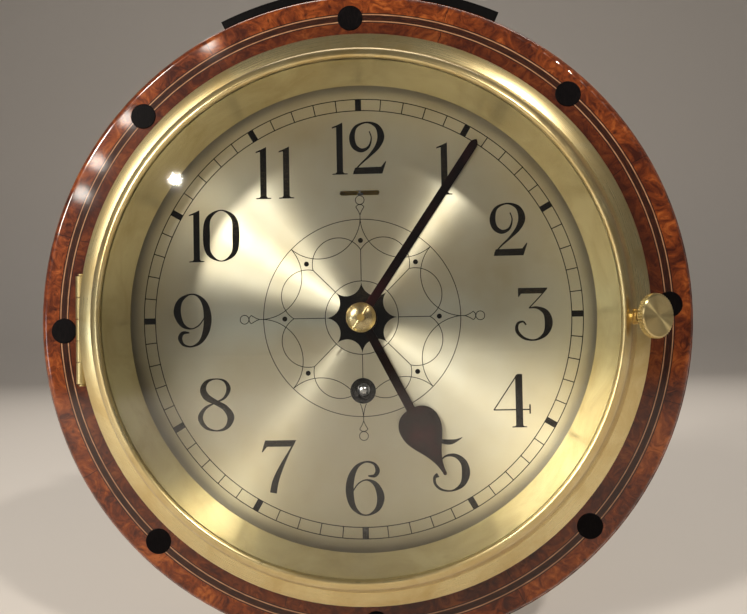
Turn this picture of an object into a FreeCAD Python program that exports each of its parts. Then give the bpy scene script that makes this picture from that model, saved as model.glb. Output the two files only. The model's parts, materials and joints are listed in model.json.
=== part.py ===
import FreeCAD, Part
import math
import os

# A ship's deck clock: an eight-inch dial in a brass drum with a hinged, glazed bezel, set through a
# round wooden surround. Millimetres. +Z is up, the dial faces -Y, and the origin is the centre of the
# surround's back face, which lies on the bulkhead.
# Heights above the bulkhead are called "rise": a rise of 10 is y = -10.

# ---- driving dimensions -------------------------------------------------------------------------

# wooden surround
WOOD_OUTER_R = 154.7
WOOD_BORE_R = 124.8
WOOD_RISE = 34.0
WOOD_EDGE_STEP = 1.0
WOOD_EDGE_ROUND = 3.0
INLAY_DEPTH = 1.5
STRING_OUTER = (143.7, 144.5)
BAND_DARK = (141.3, 143.7)
STRING_INNER = (140.5, 141.3)
PLUG_COUNT = 8
PLUG_PITCH_R = 142.6
PLUG_R = 6.0
PLUG_DEPTH = 6.0
WALL_HOLE_R = 2.5
RING_TURN = -1.45                 # the surround sits this many degrees off the dial's twelve

# hanging plate let into the surround's back
HANGER_INNER_R = 133.0
HANGER_OUTER_R = 171.5
HANGER_THICK = 3.0
HANGER_ANGLES = (-25.0, 24.5)
HANGER_SCREW_R = 144.0
HANGER_SCREW_ANGLES = (-17.0, -9.0, 7.0, 15.0)
HANGER_HOLE_X = 40.0
HANGER_HOLE_Z = 157.5
HANGER_HOLE_R = 2.5
HANGER_ISLAND_R = 5.5             # wood left standing round the topmost wall hole
HANGER_PLAY = 0.2

# screws: head radius, head height, shank radius, shank length
HANGER_SCREW = (3.0, 1.5, 1.5, 15.0)
CASE_SCREW = (2.4, 1.6, 1.25, 15.0)
COVER_SCREW = (2.2, 1.2, 1.0, 6.5)
DIAL_SCREW = (1.3, 0.8, 0.7, 3.5)
KEEPER_SCREW = (1.8, 1.1, 0.9, 3.4)
PILLAR_SCREW = (3.0, 1.8, 1.25, 8.5)

# brass drum, back cover and dial
DRUM_OUTER_R = 124.5
DRUM_WALL = 2.5
DRUM_RISE = (1.0, 47.0)
FLANGE_R = 131.0
FLANGE_THICK = 3.0
CASE_SCREW_PITCH_R = 127.9
DIAL_RISE = 45.4
DIAL_THICK = 1.5
DIAL_R = 109.6
LEDGE_INNER_R = 100.0
LEDGE_THICK = 2.0
DIAL_SCREW_PITCH_R = 107.9
COVER_R = 121.6
COVER_RISE = (2.0, 3.4)
LUG_INNER_R = 113.0
LUG_WIDTH = 8.0
LUG_HEIGHT = 6.0
LUG_SCREW_PITCH_R = 117.5

# bezel, glass and sight ring
RIM_R = 130.0
RIM_BASE = 45.5
RIM_TOP = 46.6
FLANGE_CREST = (122.4, 50.3)      # where the flange meets the wall: radius, rise
GLASS_RISE = (75.0, 77.0)
GLASS_R = 110.6
SIGHT_FOOT = (105.1, 49.4)
SIGHT_WALL = 1.4
SIGHT_FLANGE = (108.0, 110.7)
SIGHT_FLANGE_THICK = 1.6

# hinge at nine o'clock
HINGE_X = -130.2
HINGE_RISE = 42.3
HINGE_CENTRE_Z = -3.3
KNUCKLE_R = 2.8
KNUCKLE_LENGTH = 10.0
KNUCKLE_COUNT = 5
KNUCKLE_GAP = 0.3
HINGE_PIN_R = 1.1
RUNNING = 0.05                    # radial clearance of every journal

# latch at three o'clock
LATCH_R = 114.6
LATCH_RISE = 71.8
LATCH_Z = -2.0
LATCH_TILT = 30.0
SPINDLE_R = 1.4
BOSS_R = 3.3
BOSS_SPAN = (-5.5, 3.0)           # along the latch's axis, about where it meets the wall
KNOB_R = 9.1
KNOB_HEAD = (9.4, 12.4)
KNOB_STEM_R = 2.4
KNURL_COUNT = 48
KNURL_DEPTH = 0.35
DOG_R = 2.5
DOG_SPAN = (-6.6, -5.4)

# movement plates
PLATE_R = 64.0
BACK_PLATE = (7.5, 10.0)
FRONT_PLATE = (33.0, 35.5)
PILLAR_PITCH_R = 56.0
PILLAR_R = 3.5
PILLAR_ANGLES = (45, 135, 225, 315)
FOOT_PITCH_R = 58.0
FOOT_R = 2.0
FOOT_ANGLES = (25, 155, 205, 335)
FOOT_END = 30.0

# wheel train: teeth and modules
GREAT_TEETH, INTER_PINION, GREAT_MODULE = 78, 12, 0.68
INTER_TEETH, CENTRE_PINION, INTER_MODULE = 60, 10, 0.60
CENTRE_TEETH, THIRD_PINION, CENTRE_MODULE = 80, 10, 0.45
THIRD_TEETH, FOURTH_PINION, THIRD_MODULE = 75, 10, 0.42
FOURTH_TEETH, ESCAPE_PINION, FOURTH_MODULE = 70, 7, 0.36
ESCAPE_TEETH = 15
CANNON_TEETH, MINUTE_TEETH, CANNON_MODULE = 12, 36, 0.60
MINUTE_PINION, HOUR_TEETH = 10, 40
WINDING_DROP = 33.25

# rises of the wheels and pinions between the plates and under the dial
GREAT_RISE, BARREL_TOP = (12.5, 15.0), 26.0
INTER_RISE, INTER_PINION_RISE = (27.0, 28.3), (12.0, 15.6)
CENTRE_RISE, CENTRE_PINION_RISE = (29.5, 30.8), (26.4, 29.5)
THIRD_RISE, THIRD_PINION_RISE = (25.4, 26.6), (29.0, 31.3)
FOURTH_RISE, FOURTH_PINION_RISE = (21.0, 22.0), (25.0, 27.0)
ESCAPE_RISE, ESCAPE_PINION_RISE = (24.0, 24.8), (20.6, 22.8)
LEVER_RISE = (23.8, 25.0)
BALANCE_RISE, ROLLER_RISE = (13.5, 15.3), (26.0, 26.8)
HAIRSPRING_RISE = (28.0, 29.0)
BRIDGE_RISE = (19.0, 20.2)
CANNON_RISE, MINUTE_RISE, HOUR_RISE = (36.3, 38.7), (36.8, 38.2), (39.4, 41.0)
MINUTE_PINION_TOP = 41.6

# pivot radii
BARREL_PIVOT, INTER_PIVOT, CENTRE_PIVOT = 2.5, 0.8, 1.6
THIRD_PIVOT, FOURTH_PIVOT, ESCAPE_PIVOT = 0.6, 0.5, 0.4
LEVER_PIVOT, BALANCE_PIVOT = 0.35, 0.3
END_SHAKE = 0.15
PIVOT_SHORT = 0.3                 # a pivot stops this far inside its plate's outer face
STUD_R = 1.2

# the balance and the regulator's tip stand above the centre
BALANCE_Z = 37.0
BALANCE_R = 11.5
STAFF_R = 0.6
SLOT_Z = 57.0
SLOT_LENGTH = 18.2
SLOT_WIDTH = 2.2
TIP_Z = 57.35
EYELET_R = 5.3
EYELET_BORE_R = 4.2
EYELET_FLOOR = (38.6, 39.4)

# hands: rest angles, clockwise from twelve
MINUTE_ANGLE = 34.0
HOUR_ANGLE = 152.8
MINUTE_LENGTH = 95.0
HOUR_LENGTH = 80.0


# ---- helpers ------------------------------------------------------------------------------------

def vec(x, rise, z):
    """A point from its x, its rise above the bulkhead and its z."""
    return FreeCAD.Vector(x, -rise, z)


FORWARD = FreeCAD.Vector(0, -1, 0)


def polar(radius, angle):
    """x and z of a point on a circle, its angle in degrees clockwise from twelve."""
    a = math.radians(angle)
    return radius * math.sin(a), radius * math.cos(a)


def disc(radius, low, high, x=0.0, z=0.0):
    return Part.makeCylinder(radius, high - low, vec(x, low, z), FORWARD)


def tube(outer, inner, low, high, x=0.0, z=0.0):
    return disc(outer, low, high, x, z).cut(disc(inner, low, high, x, z))


def box(x0, x1, low, high, z0, z1):
    return Part.makeBox(x1 - x0, high - low, z1 - z0, vec(x0, high, z0))


def turned(shape, angle, x=0.0, z=0.0):
    """The shape turned clockwise, as seen from the front, about an axis parallel to the clock's."""
    out = shape.copy()
    out.rotate(vec(x, 0, z), FreeCAD.Vector(0, 1, 0), angle)
    return out


def moved(shape, x, rise, z):
    out = shape.copy()
    out.translate(vec(x, rise, z))
    return out


def union(shapes):
    first, rest = shapes[0], shapes[1:]
    return first.fuse(rest).removeSplitter() if rest else first


def group(shapes):
    return Part.makeCompound(shapes)


def spin(edges):
    """A ring from the closed outline of its section, drawn as radius and rise."""
    face = Part.Face(Part.Wire(edges))
    return face.revolve(vec(0, 0, 0), FreeCAD.Vector(0, 1, 0), 360)


def line(a, b):
    return Part.makeLine(vec(a[0], a[1], 0), vec(b[0], b[1], 0))


def arc(a, mid, b):
    return Part.Arc(vec(a[0], a[1], 0), vec(mid[0], mid[1], 0), vec(b[0], b[1], 0)).toShape()


def spun_polygon(points):
    return spin([line(p, q) for p, q in zip(points, points[1:] + points[:1])])


def flat_wire(points, rise):
    """A closed outline of x, z points, lying at one rise."""
    corners = [vec(x, rise, z) for x, z in points]
    return Part.makePolygon(corners + corners[:1])


def slab(wires, low, high):
    """A flat piece between two rises; the wires lie at the lower rise, the outline first."""
    face = Part.makeFace(wires, "Part::FaceMakerBullseye")
    return face.extrude(vec(0, high - low, 0))


def flat_piece(points, low, high):
    return slab([flat_wire(points, low)], low, high)


def bar(a, b, width, low, high):
    """A round-ended flat bar between two x, z points."""
    ax, az = a
    bx, bz = b
    length = math.hypot(bx - ax, bz - az)
    ux, uz = (bx - ax) / length, (bz - az) / length
    nx, nz = -uz * width / 2, ux * width / 2
    body = flat_piece([(ax + nx, az + nz), (bx + nx, bz + nz), (bx - nx, bz - nz), (ax - nx, az - nz)],
                      low, high)
    return union([body, disc(width / 2, low, high, ax, az), disc(width / 2, low, high, bx, bz)])


def screw(x, z, seat, size, way=1):
    """A slotted screw; its head stands from the seat towards the front (way 1) or the back (way -1)."""
    head_r, head_height, shank_r, shank_length = size
    head = disc(head_r, *sorted((seat, seat + way * head_height)), x, z)
    slot = sorted((seat + way * head_height, seat + way * head_height * 0.5))
    half_slot = head_r * 0.12
    head = head.cut(box(x - head_r, x + head_r, *slot, z - half_slot, z + half_slot))
    return union([head, disc(shank_r, *sorted((seat, seat - way * shank_length)), x, z)])


# ---- gears --------------------------------------------------------------------------------------

WHEEL_TOOTH_SHARE = 0.44          # tooth width over pitch at the pitch circle
LEAF_SHARE = 0.36
LEAF_TIP = 0.35                   # a pinion leaf's addendum, in modules
ROOT_DEPTH = 1.45                 # dedendum, in modules
RIM_DEPTH = 2.2                   # the rim below the roots, in modules
SPOKE_WIDTH = 2.2


def epicycloid(pitch_r, rolling_r, roll):
    """Radius and swing of the curve that a circle rolling on the pitch circle traces."""
    total = pitch_r + rolling_r
    swing = roll * rolling_r / pitch_r
    x = total * math.cos(swing) - rolling_r * math.cos(total / rolling_r * swing)
    z = total * math.sin(swing) - rolling_r * math.sin(total / rolling_r * swing)
    return math.hypot(x, z), math.atan2(z, x)


def wheel_outline(teeth, module, mate, toward):
    """A cycloidal wheel for a radial-flanked pinion; a tooth points at the angle toward."""
    pitch_r = teeth * module / 2
    half = math.pi / teeth * WHEEL_TOOTH_SHARE
    rolling_r = mate * module / 4
    flank = [epicycloid(pitch_r, rolling_r, roll) for roll in (0.0, 0.35, 0.6, 0.8, 0.95)]
    flank = [(r, s) for r, s in flank if s < half * 0.85]
    points = []
    for i in range(teeth):
        centre = math.radians(toward) + 2 * math.pi * i / teeth
        root = pitch_r - ROOT_DEPTH * module
        rising = [(root, -half)] + [(r, s - half) for r, s in flank]
        falling = [(r, half - s) for r, s in reversed(flank)] + [(root, half)]
        points += [(r * math.sin(centre + s), r * math.cos(centre + s)) for r, s in rising + falling]
    return points


def pinion_outline(leaves, module, toward):
    """A pinion with radial leaves and low rounded tips; a space faces the angle toward."""
    pitch_r = leaves * module / 2
    half = math.pi / leaves * LEAF_SHARE
    root, tip = pitch_r - ROOT_DEPTH * module, pitch_r + LEAF_TIP * module
    rising = [(root, -half), (pitch_r, -half), (tip, -half / 2)]
    profile = rising + [(r, -swing) for r, swing in reversed(rising)]
    points = []
    for i in range(leaves):
        centre = math.radians(toward) + 2 * math.pi * (i + 0.5) / leaves
        points += [(r * math.sin(centre + s), r * math.cos(centre + s)) for r, s in profile]
    return points


def crossing_wires(inner_r, outer_r, spokes, spoke_width, x, z, rise):
    """Window outlines between a wheel's spokes."""
    wires = []
    for i in range(spokes):
        middle = 2 * math.pi * (i + 0.5) / spokes
        reach_in = math.pi / spokes - math.asin(spoke_width / 2 / inner_r)
        reach_out = math.pi / spokes - math.asin(spoke_width / 2 / outer_r)

        def at(radius, angle):
            return vec(x + radius * math.sin(angle), rise, z + radius * math.cos(angle))

        outer = [at(outer_r, middle + turn * reach_out) for turn in (-1, 0, 1)]
        inner = [at(inner_r, middle - turn * reach_in) for turn in (-1, 0, 1)]
        wires.append(Part.Wire([Part.Arc(*outer).toShape(),
                                Part.makeLine(outer[2], inner[0]),
                                Part.Arc(*inner).toShape(),
                                Part.makeLine(inner[2], outer[0])]))
    return wires


def wheel(at, teeth, module, mate, toward, rise, hub_r=0.0, spokes=0):
    """A brass wheel, crossed out if it has spokes."""
    x, z = at
    low, high = rise
    outline = [(x + px, z + pz) for px, pz in wheel_outline(teeth, module, mate, toward)]
    rim_r = teeth * module / 2 - (ROOT_DEPTH + RIM_DEPTH) * module
    windows = crossing_wires(hub_r, rim_r, spokes, SPOKE_WIDTH, x, z, low)
    return slab([flat_wire(outline, low)] + windows, low, high)


def pinion(at, leaves, module, toward, rise):
    x, z = at
    return flat_piece([(x + px, z + pz) for px, pz in pinion_outline(leaves, module, toward)], *rise)


def bearing(a, b):
    """The clockwise angle from twelve of the way from one axis to another."""
    return math.degrees(math.atan2(b[0] - a[0], b[1] - a[1]))


def arbor(at, radius, pivot_r):
    """A steel arbor between the plates, with a pivot through each plate."""
    x, z = at
    back, front = BACK_PLATE[0] + PIVOT_SHORT, FRONT_PLATE[1] - PIVOT_SHORT
    shaft = disc(radius, BACK_PLATE[1] + END_SHAKE, FRONT_PLATE[0] - END_SHAKE, x, z)
    return union([shaft, disc(pivot_r, back, front, x, z)])


# ---- axes of the train --------------------------------------------------------------------------

def third_corner(a, b, from_a, from_b, side):
    """The point at given distances from two axes, on the right (1) or left (-1) of the way a to b."""
    dx, dz = b[0] - a[0], b[1] - a[1]
    base = math.hypot(dx, dz)
    along = (from_a ** 2 - from_b ** 2 + base ** 2) / (2 * base)
    off = side * math.sqrt(from_a ** 2 - along ** 2)
    return (a[0] + (dx * along + dz * off) / base, a[1] + (dz * along - dx * off) / base)


def beside(a, distance, angle):
    dx, dz = polar(distance, angle)
    return (a[0] + dx, a[1] + dz)


CENTRE = (0.0, 0.0)
BARREL = (0.0, -WINDING_DROP)
BALANCE = (0.0, BALANCE_Z)
INTER = third_corner(CENTRE, BARREL, (INTER_TEETH + CENTRE_PINION) * INTER_MODULE / 2,
                     (GREAT_TEETH + INTER_PINION) * GREAT_MODULE / 2, -1)
THIRD = beside(CENTRE, (CENTRE_TEETH + THIRD_PINION) * CENTRE_MODULE / 2, -80.0)
FOURTH = beside(THIRD, (THIRD_TEETH + FOURTH_PINION) * THIRD_MODULE / 2, 15.0)
ESCAPE = beside(FOURTH, (FOURTH_TEETH + ESCAPE_PINION) * FOURTH_MODULE / 2, 0.0)
MOTION_SPACING = (CANNON_TEETH + MINUTE_TEETH) * CANNON_MODULE / 2
HOUR_MODULE = 2 * MOTION_SPACING / (MINUTE_PINION + HOUR_TEETH)
MINUTE_STUD = beside(CENTRE, MOTION_SPACING, -60.0)
LEVER_FROM_ESCAPE = 8.3
LEVER = beside(ESCAPE, LEVER_FROM_ESCAPE, bearing(ESCAPE, BALANCE))
FORK_REACH = math.hypot(BALANCE[0] - LEVER[0], BALANCE[1] - LEVER[1]) - 2.4


# ---- surround -----------------------------------------------------------------------------------

def plug_centres():
    return [polar(PLUG_PITCH_R, RING_TURN + 360.0 * i / PLUG_COUNT) for i in range(PLUG_COUNT)]


def hanger_screw_places():
    return [polar(HANGER_SCREW_R, angle) for angle in HANGER_SCREW_ANGLES]


def hanger_outline(grow=0.0):
    """The hanging plate as a sector of a ring, grown by a clearance."""
    inner, outer = HANGER_INNER_R - grow, HANGER_OUTER_R + grow
    first, last = HANGER_ANGLES
    extra = math.degrees(grow / HANGER_OUTER_R)
    angles = (first - extra, (first + last) / 2, last + extra)

    def across(radius):
        return [vec(x, 0, z) for x, z in (polar(radius, angle) for angle in angles)]

    near, far = across(inner), across(outer)
    return Part.Wire([Part.Arc(*far).toShape(),
                      Part.makeLine(far[2], near[2]),
                      Part.Arc(*near).toShape(),
                      Part.makeLine(near[0], far[0])])


def case_screw_places():
    """The case screws stand halfway between the plugs."""
    pitch = 360.0 / PLUG_COUNT
    return [polar(CASE_SCREW_PITCH_R, pitch * (i + 0.5)) for i in range(PLUG_COUNT)]


def make_surround():
    edge = WOOD_OUTER_R - WOOD_EDGE_STEP
    shoulder = WOOD_RISE - WOOD_EDGE_ROUND - WOOD_EDGE_STEP
    inset = WOOD_EDGE_ROUND * (1 - math.sqrt(0.5))
    top = (edge - WOOD_EDGE_ROUND, WOOD_RISE)
    bend = (edge - inset, WOOD_RISE - inset)
    side = (edge, WOOD_RISE - WOOD_EDGE_ROUND)
    ring = spin([line((WOOD_BORE_R, 0), (WOOD_OUTER_R, 0)),
                 line((WOOD_OUTER_R, 0), (WOOD_OUTER_R, shoulder)),
                 line((WOOD_OUTER_R, shoulder), (edge, shoulder)),
                 line((edge, shoulder), side),
                 arc(side, bend, top),
                 line(top, (WOOD_BORE_R, WOOD_RISE)),
                 line((WOOD_BORE_R, WOOD_RISE), (WOOD_BORE_R, 0))])
    floor = WOOD_RISE - INLAY_DEPTH
    cuts = [tube(STRING_OUTER[1], STRING_INNER[0], floor, WOOD_RISE)]
    for x, z in plug_centres():
        cuts.append(disc(PLUG_R, WOOD_RISE - PLUG_DEPTH, WOOD_RISE, x, z))
        cuts.append(disc(WALL_HOLE_R, 0, WOOD_RISE - PLUG_DEPTH, x, z))
    island = disc(HANGER_ISLAND_R, 0, HANGER_THICK, *plug_centres()[0])
    cuts.append(slab([hanger_outline(HANGER_PLAY)], 0, HANGER_THICK).cut(island))
    for x, z in hanger_screw_places():
        cuts.append(disc(HANGER_SCREW[2], HANGER_THICK, HANGER_SCREW[3], x, z))
    for x, z in case_screw_places():
        cuts.append(disc(CASE_SCREW[2], FLANGE_TOP - CASE_SCREW[3], WOOD_RISE, x, z))
    return ring.cut(cuts)


def make_inlay(radii):
    floor = WOOD_RISE - INLAY_DEPTH
    ring = tube(radii[1], radii[0], floor, WOOD_RISE)
    return ring.cut([disc(PLUG_R, floor, WOOD_RISE, x, z) for x, z in plug_centres()])


def make_plugs():
    plugs = []
    low, top, chamfer = WOOD_RISE - PLUG_DEPTH, WOOD_RISE + 0.1, 0.3
    for x, z in plug_centres():
        body = disc(PLUG_R, low, top, x, z)
        crown = Part.makeCone(PLUG_R, PLUG_R - chamfer, chamfer * 2 / 3, vec(x, top, z), FORWARD)
        plugs.append(union([body, crown]))
    return group(plugs)


def make_hanging_plate():
    head_r, head_height, shank_r, _ = HANGER_SCREW
    plate = slab([hanger_outline()], 0, HANGER_THICK)
    cuts = [disc(HANGER_ISLAND_R + HANGER_PLAY, 0, HANGER_THICK, *plug_centres()[0])]
    for x, z in hanger_screw_places():
        cuts.append(Part.makeCone(head_r, shank_r, head_height, vec(x, 0, z), FORWARD))
        cuts.append(disc(shank_r, head_height, HANGER_THICK, x, z))
    for x in (-HANGER_HOLE_X, HANGER_HOLE_X):
        cuts.append(disc(HANGER_HOLE_R, 0, HANGER_THICK, x, HANGER_HOLE_Z))
    return plate.cut(cuts)


def make_hanging_plate_screws():
    head_r, head_height, shank_r, length = HANGER_SCREW
    slot_depth, half_slot = 0.6, 0.35
    screws = []
    for x, z in hanger_screw_places():
        head = Part.makeCone(head_r, shank_r, head_height, vec(x, 0, z), FORWARD)
        shank = disc(shank_r, head_height, length, x, z)
        slot = box(x - head_r, x + head_r, 0, slot_depth, z - half_slot, z + half_slot)
        screws.append(union([head, shank]).cut(slot))
    return group(screws)


# ---- drum, back cover and dial ------------------------------------------------------------------

DRUM_INNER_R = DRUM_OUTER_R - DRUM_WALL
DIAL_BACK = DIAL_RISE - DIAL_THICK
LEDGE_BACK = DIAL_BACK - LEDGE_THICK
FLANGE_TOP = WOOD_RISE + FLANGE_THICK
KEEPER_Z = LATCH_Z + 4.9
KEEPER_SCREW_X = 117.0
KEEPER_FOOT = 1.6
ARBOR_HOLE_R = 4.8
EYELET_LIP = (0.5, 0.3)           # how far it spreads over the dial, and its height
EYELET_FLOOR_HOLE_R = 2.9
DIAL_FOOT_COLLAR_R = 3.2
DIAL_FOOT_PIN = (0.5, 8.0)        # radius, length


def dial_screw_places():
    return [polar(DIAL_SCREW_PITCH_R, angle) for angle in PILLAR_ANGLES]


def make_drum():
    body = spun_polygon([(DRUM_INNER_R, DRUM_RISE[0]), (DRUM_OUTER_R, DRUM_RISE[0]),
                         (DRUM_OUTER_R, WOOD_RISE), (FLANGE_R, WOOD_RISE), (FLANGE_R, FLANGE_TOP),
                         (DRUM_OUTER_R, FLANGE_TOP), (DRUM_OUTER_R, DRUM_RISE[1]),
                         (DRUM_INNER_R, DRUM_RISE[1]), (DRUM_INNER_R, DIAL_BACK),
                         (LEDGE_INNER_R, DIAL_BACK), (LEDGE_INNER_R, LEDGE_BACK),
                         (DRUM_INNER_R, LEDGE_BACK)])
    cuts = [disc(CASE_SCREW[2], WOOD_RISE, FLANGE_TOP, x, z) for x, z in case_screw_places()]
    cuts += [disc(DIAL_SCREW[2], LEDGE_BACK, DIAL_BACK, x, z) for x, z in dial_screw_places()]
    cuts.append(disc(KEEPER_SCREW[2], LEDGE_BACK, DIAL_BACK, KEEPER_SCREW_X, KEEPER_Z))
    return body.cut(cuts)


def make_case_screws():
    return group([screw(x, z, FLANGE_TOP, CASE_SCREW) for x, z in case_screw_places()])


def lug_places():
    return [polar(LUG_SCREW_PITCH_R, angle) for angle in PILLAR_ANGLES]


def make_back_cover():
    cover = disc(COVER_R, *COVER_RISE)
    return cover.cut([disc(COVER_SCREW[2] + 0.1, *COVER_RISE, x, z) for x, z in lug_places()])


def make_back_cover_lugs():
    low, high = COVER_RISE[1], COVER_RISE[1] + LUG_HEIGHT
    lugs = []
    for angle in PILLAR_ANGLES:
        block = box(-LUG_WIDTH / 2, LUG_WIDTH / 2, low, high, LUG_INNER_R, DRUM_INNER_R + 1.0)
        block = block.common(disc(DRUM_INNER_R, low, high))
        block = block.cut(disc(COVER_SCREW[2], low, high, 0, LUG_SCREW_PITCH_R))
        lugs.append(turned(block, angle))
    return group(lugs)


def make_back_cover_screws():
    return group([screw(x, z, COVER_RISE[0], COVER_SCREW, way=-1) for x, z in lug_places()])


def make_dial():
    plate = disc(DIAL_R, DIAL_BACK, DIAL_RISE)
    reach = (SLOT_LENGTH - SLOT_WIDTH) / 2
    cuts = [disc(ARBOR_HOLE_R, DIAL_BACK, DIAL_RISE),
            disc(EYELET_R, DIAL_BACK, DIAL_RISE, *BARREL),
            bar((-reach, SLOT_Z), (reach, SLOT_Z), SLOT_WIDTH, DIAL_BACK, DIAL_RISE)]
    cuts += [disc(DIAL_SCREW[2], DIAL_BACK, DIAL_RISE, x, z) for x, z in dial_screw_places()]
    return plate.cut(cuts)


def make_dial_screws():
    return group([screw(x, z, DIAL_RISE, DIAL_SCREW) for x, z in dial_screw_places()])


def make_winding_eyelet():
    low, floor = EYELET_FLOOR
    spread, height = EYELET_LIP
    return union([tube(EYELET_R, EYELET_BORE_R, floor, DIAL_RISE, *BARREL),
                  tube(EYELET_R, EYELET_FLOOR_HOLE_R, low, floor, *BARREL),
                  tube(EYELET_R + spread, EYELET_BORE_R, DIAL_RISE, DIAL_RISE + height, *BARREL)])


def make_dial_feet():
    feet = []
    for angle in FOOT_ANGLES:
        x, z = polar(FOOT_PITCH_R, angle)
        foot = union([disc(FOOT_R, FOOT_END, DIAL_BACK, x, z),
                      disc(DIAL_FOOT_COLLAR_R, FRONT_PLATE[1], DIAL_BACK, x, z)])
        feet.append(foot.cut(dial_foot_pin(x, z)))
    return group(feet)


def dial_foot_pin(x, z):
    """The pin that keeps a dial foot from drawing out of the front plate."""
    radius, length = DIAL_FOOT_PIN
    return Part.makeCylinder(radius, length, vec(x - length / 2, FOOT_END + 1.6, z), FreeCAD.Vector(1, 0, 0))


def make_dial_foot_pins():
    return group([dial_foot_pin(*polar(FOOT_PITCH_R, angle)) for angle in FOOT_ANGLES])


# ---- bezel --------------------------------------------------------------------------------------

def latch_frame(shape):
    """A piece drawn along its own +Z, carried to the latch's tilted axis."""
    out = shape.copy()
    out.rotate(FreeCAD.Vector(0, 0, 0), FreeCAD.Vector(1, 0, 0), 90)
    out.rotate(FreeCAD.Vector(0, 0, 0), FreeCAD.Vector(0, 0, 1), LATCH_TILT)
    out.translate(vec(LATCH_R, LATCH_RISE, LATCH_Z))
    return out


def along_latch(radius, low, high):
    """A cylinder about the latch's axis, before that axis is tilted."""
    return Part.makeCylinder(radius, high - low, FreeCAD.Vector(0, 0, low))


def make_bezel():
    """A broad sloped flange, a steep wall, a groove, and a bead whose lip holds the glass."""
    rim_inner, shelf = (125.2, RIM_BASE), (125.2, 47.5)
    wall_foot, wall_head = (121.9, 47.5), (113.0, 69.9)
    flange_out, flange_mid, flange_in = (RIM_R, RIM_TOP), (126.3, 48.9), FLANGE_CREST
    groove_out, groove_in = (113.8, 71.9), (113.1, 71.6)
    bead_foot, bead_mid, bead_top = (113.2, 72.8), (112.1, 76.6), (109.4, 78.8)
    lip_mid, lip = (108.4, 78.7), (107.9, 78.0)
    seat = (GLASS_R + 0.3, 70.4)
    over_glass, beside_glass = (lip[0], GLASS_RISE[1]), (seat[0], GLASS_RISE[1])
    body = spin([line(rim_inner, (RIM_R, RIM_BASE)),
                 line((RIM_R, RIM_BASE), flange_out),
                 arc(flange_out, flange_mid, flange_in),
                 line(flange_in, groove_out),
                 line(groove_out, groove_in),
                 line(groove_in, bead_foot),
                 arc(bead_foot, bead_mid, bead_top),
                 arc(bead_top, lip_mid, lip),
                 line(lip, over_glass),
                 line(over_glass, beside_glass),
                 line(beside_glass, seat),
                 line(seat, wall_head),
                 line(wall_head, wall_foot),
                 line(wall_foot, shelf),
                 line(shelf, rim_inner)])
    boss = latch_frame(along_latch(BOSS_R, *BOSS_SPAN))
    hole = latch_frame(along_latch(SPINDLE_R + RUNNING, 2 * BOSS_SPAN[0], 2 * BOSS_SPAN[1]))
    wall_height = wall_head[1] - wall_foot[1]
    hollow = Part.makeCone(wall_foot[0], wall_head[0], wall_height, vec(0, wall_foot[1], 0), FORWARD)
    glass_space = disc(seat[0], wall_head[1] - 2.0, GLASS_RISE[1] + 2.0)
    return union([body, boss.cut([hollow, glass_space])]).cut(hole)


def make_sight_ring():
    foot_r, foot = SIGHT_FOOT
    inner, outer = SIGHT_FLANGE
    top = GLASS_RISE[0]
    under = top - SIGHT_FLANGE_THICK
    return spun_polygon([(inner, top), (outer, top), (outer, under), (inner + SIGHT_WALL, under),
                         (foot_r + SIGHT_WALL, foot), (foot_r, foot)])


def make_glass():
    return disc(GLASS_R, *GLASS_RISE)


# ---- hinge --------------------------------------------------------------------------------------

UPWARD = FreeCAD.Vector(0, 0, 1)
HINGE_LENGTH = KNUCKLE_LENGTH * KNUCKLE_COUNT
LEAF_TOP = HINGE_RISE - 0.4       # the fixed leaf stays under the bezel's rim
LEAF_EDGE = (-126.6, -117.0)
TAB_EDGE = -125.6
PIN_CAP = (1.7, 0.8)              # radius, thickness


def along_hinge(radius, low, high):
    return Part.makeCylinder(radius, high - low, vec(HINGE_X, HINGE_RISE, low), UPWARD)


def knuckle_span(i):
    top = HINGE_CENTRE_Z + HINGE_LENGTH / 2 - i * KNUCKLE_LENGTH
    return top - KNUCKLE_LENGTH + KNUCKLE_GAP / 2, top - KNUCKLE_GAP / 2


def knuckle(i):
    return along_hinge(KNUCKLE_R, *knuckle_span(i))


def hinge_bore():
    reach = HINGE_LENGTH / 2 + 2.0
    return along_hinge(HINGE_PIN_R + RUNNING, HINGE_CENTRE_Z - reach, HINGE_CENTRE_Z + reach)


def make_hinge_fixed_leaf():
    shapes = []
    for i in range(0, KNUCKLE_COUNT, 2):
        tongue = box(HINGE_X, LEAF_EDGE[1], HINGE_RISE - KNUCKLE_R, LEAF_TOP, *knuckle_span(i))
        shapes += [knuckle(i), tongue]
    low, high = knuckle_span(KNUCKLE_COUNT - 1)[0], knuckle_span(0)[1]
    shapes.append(box(*LEAF_EDGE, FLANGE_TOP + 0.2, LEAF_TOP, low, high))
    return union(shapes).cut([hinge_bore(), disc(DRUM_OUTER_R, FLANGE_TOP, DRUM_RISE[1])])


def make_hinge_moving_leaf():
    shapes = []
    for i in range(1, KNUCKLE_COUNT, 2):
        tab = box(HINGE_X - 0.3, TAB_EDGE, HINGE_RISE, RIM_BASE, *knuckle_span(i))
        shapes.append(union([knuckle(i), tab]).cut(hinge_bore()))
    return group(shapes)


def make_hinge_pin():
    cap_r, cap_thick = PIN_CAP
    reach = HINGE_LENGTH / 2 + 0.7
    low, high = HINGE_CENTRE_Z - reach, HINGE_CENTRE_Z + reach
    caps = [along_hinge(cap_r, low - 0.3, low - 0.3 + cap_thick),
            along_hinge(cap_r, high + 0.3 - cap_thick, high + 0.3)]
    return union([along_hinge(HINGE_PIN_R, low, high)] + caps)


# ---- latch --------------------------------------------------------------------------------------

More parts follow.
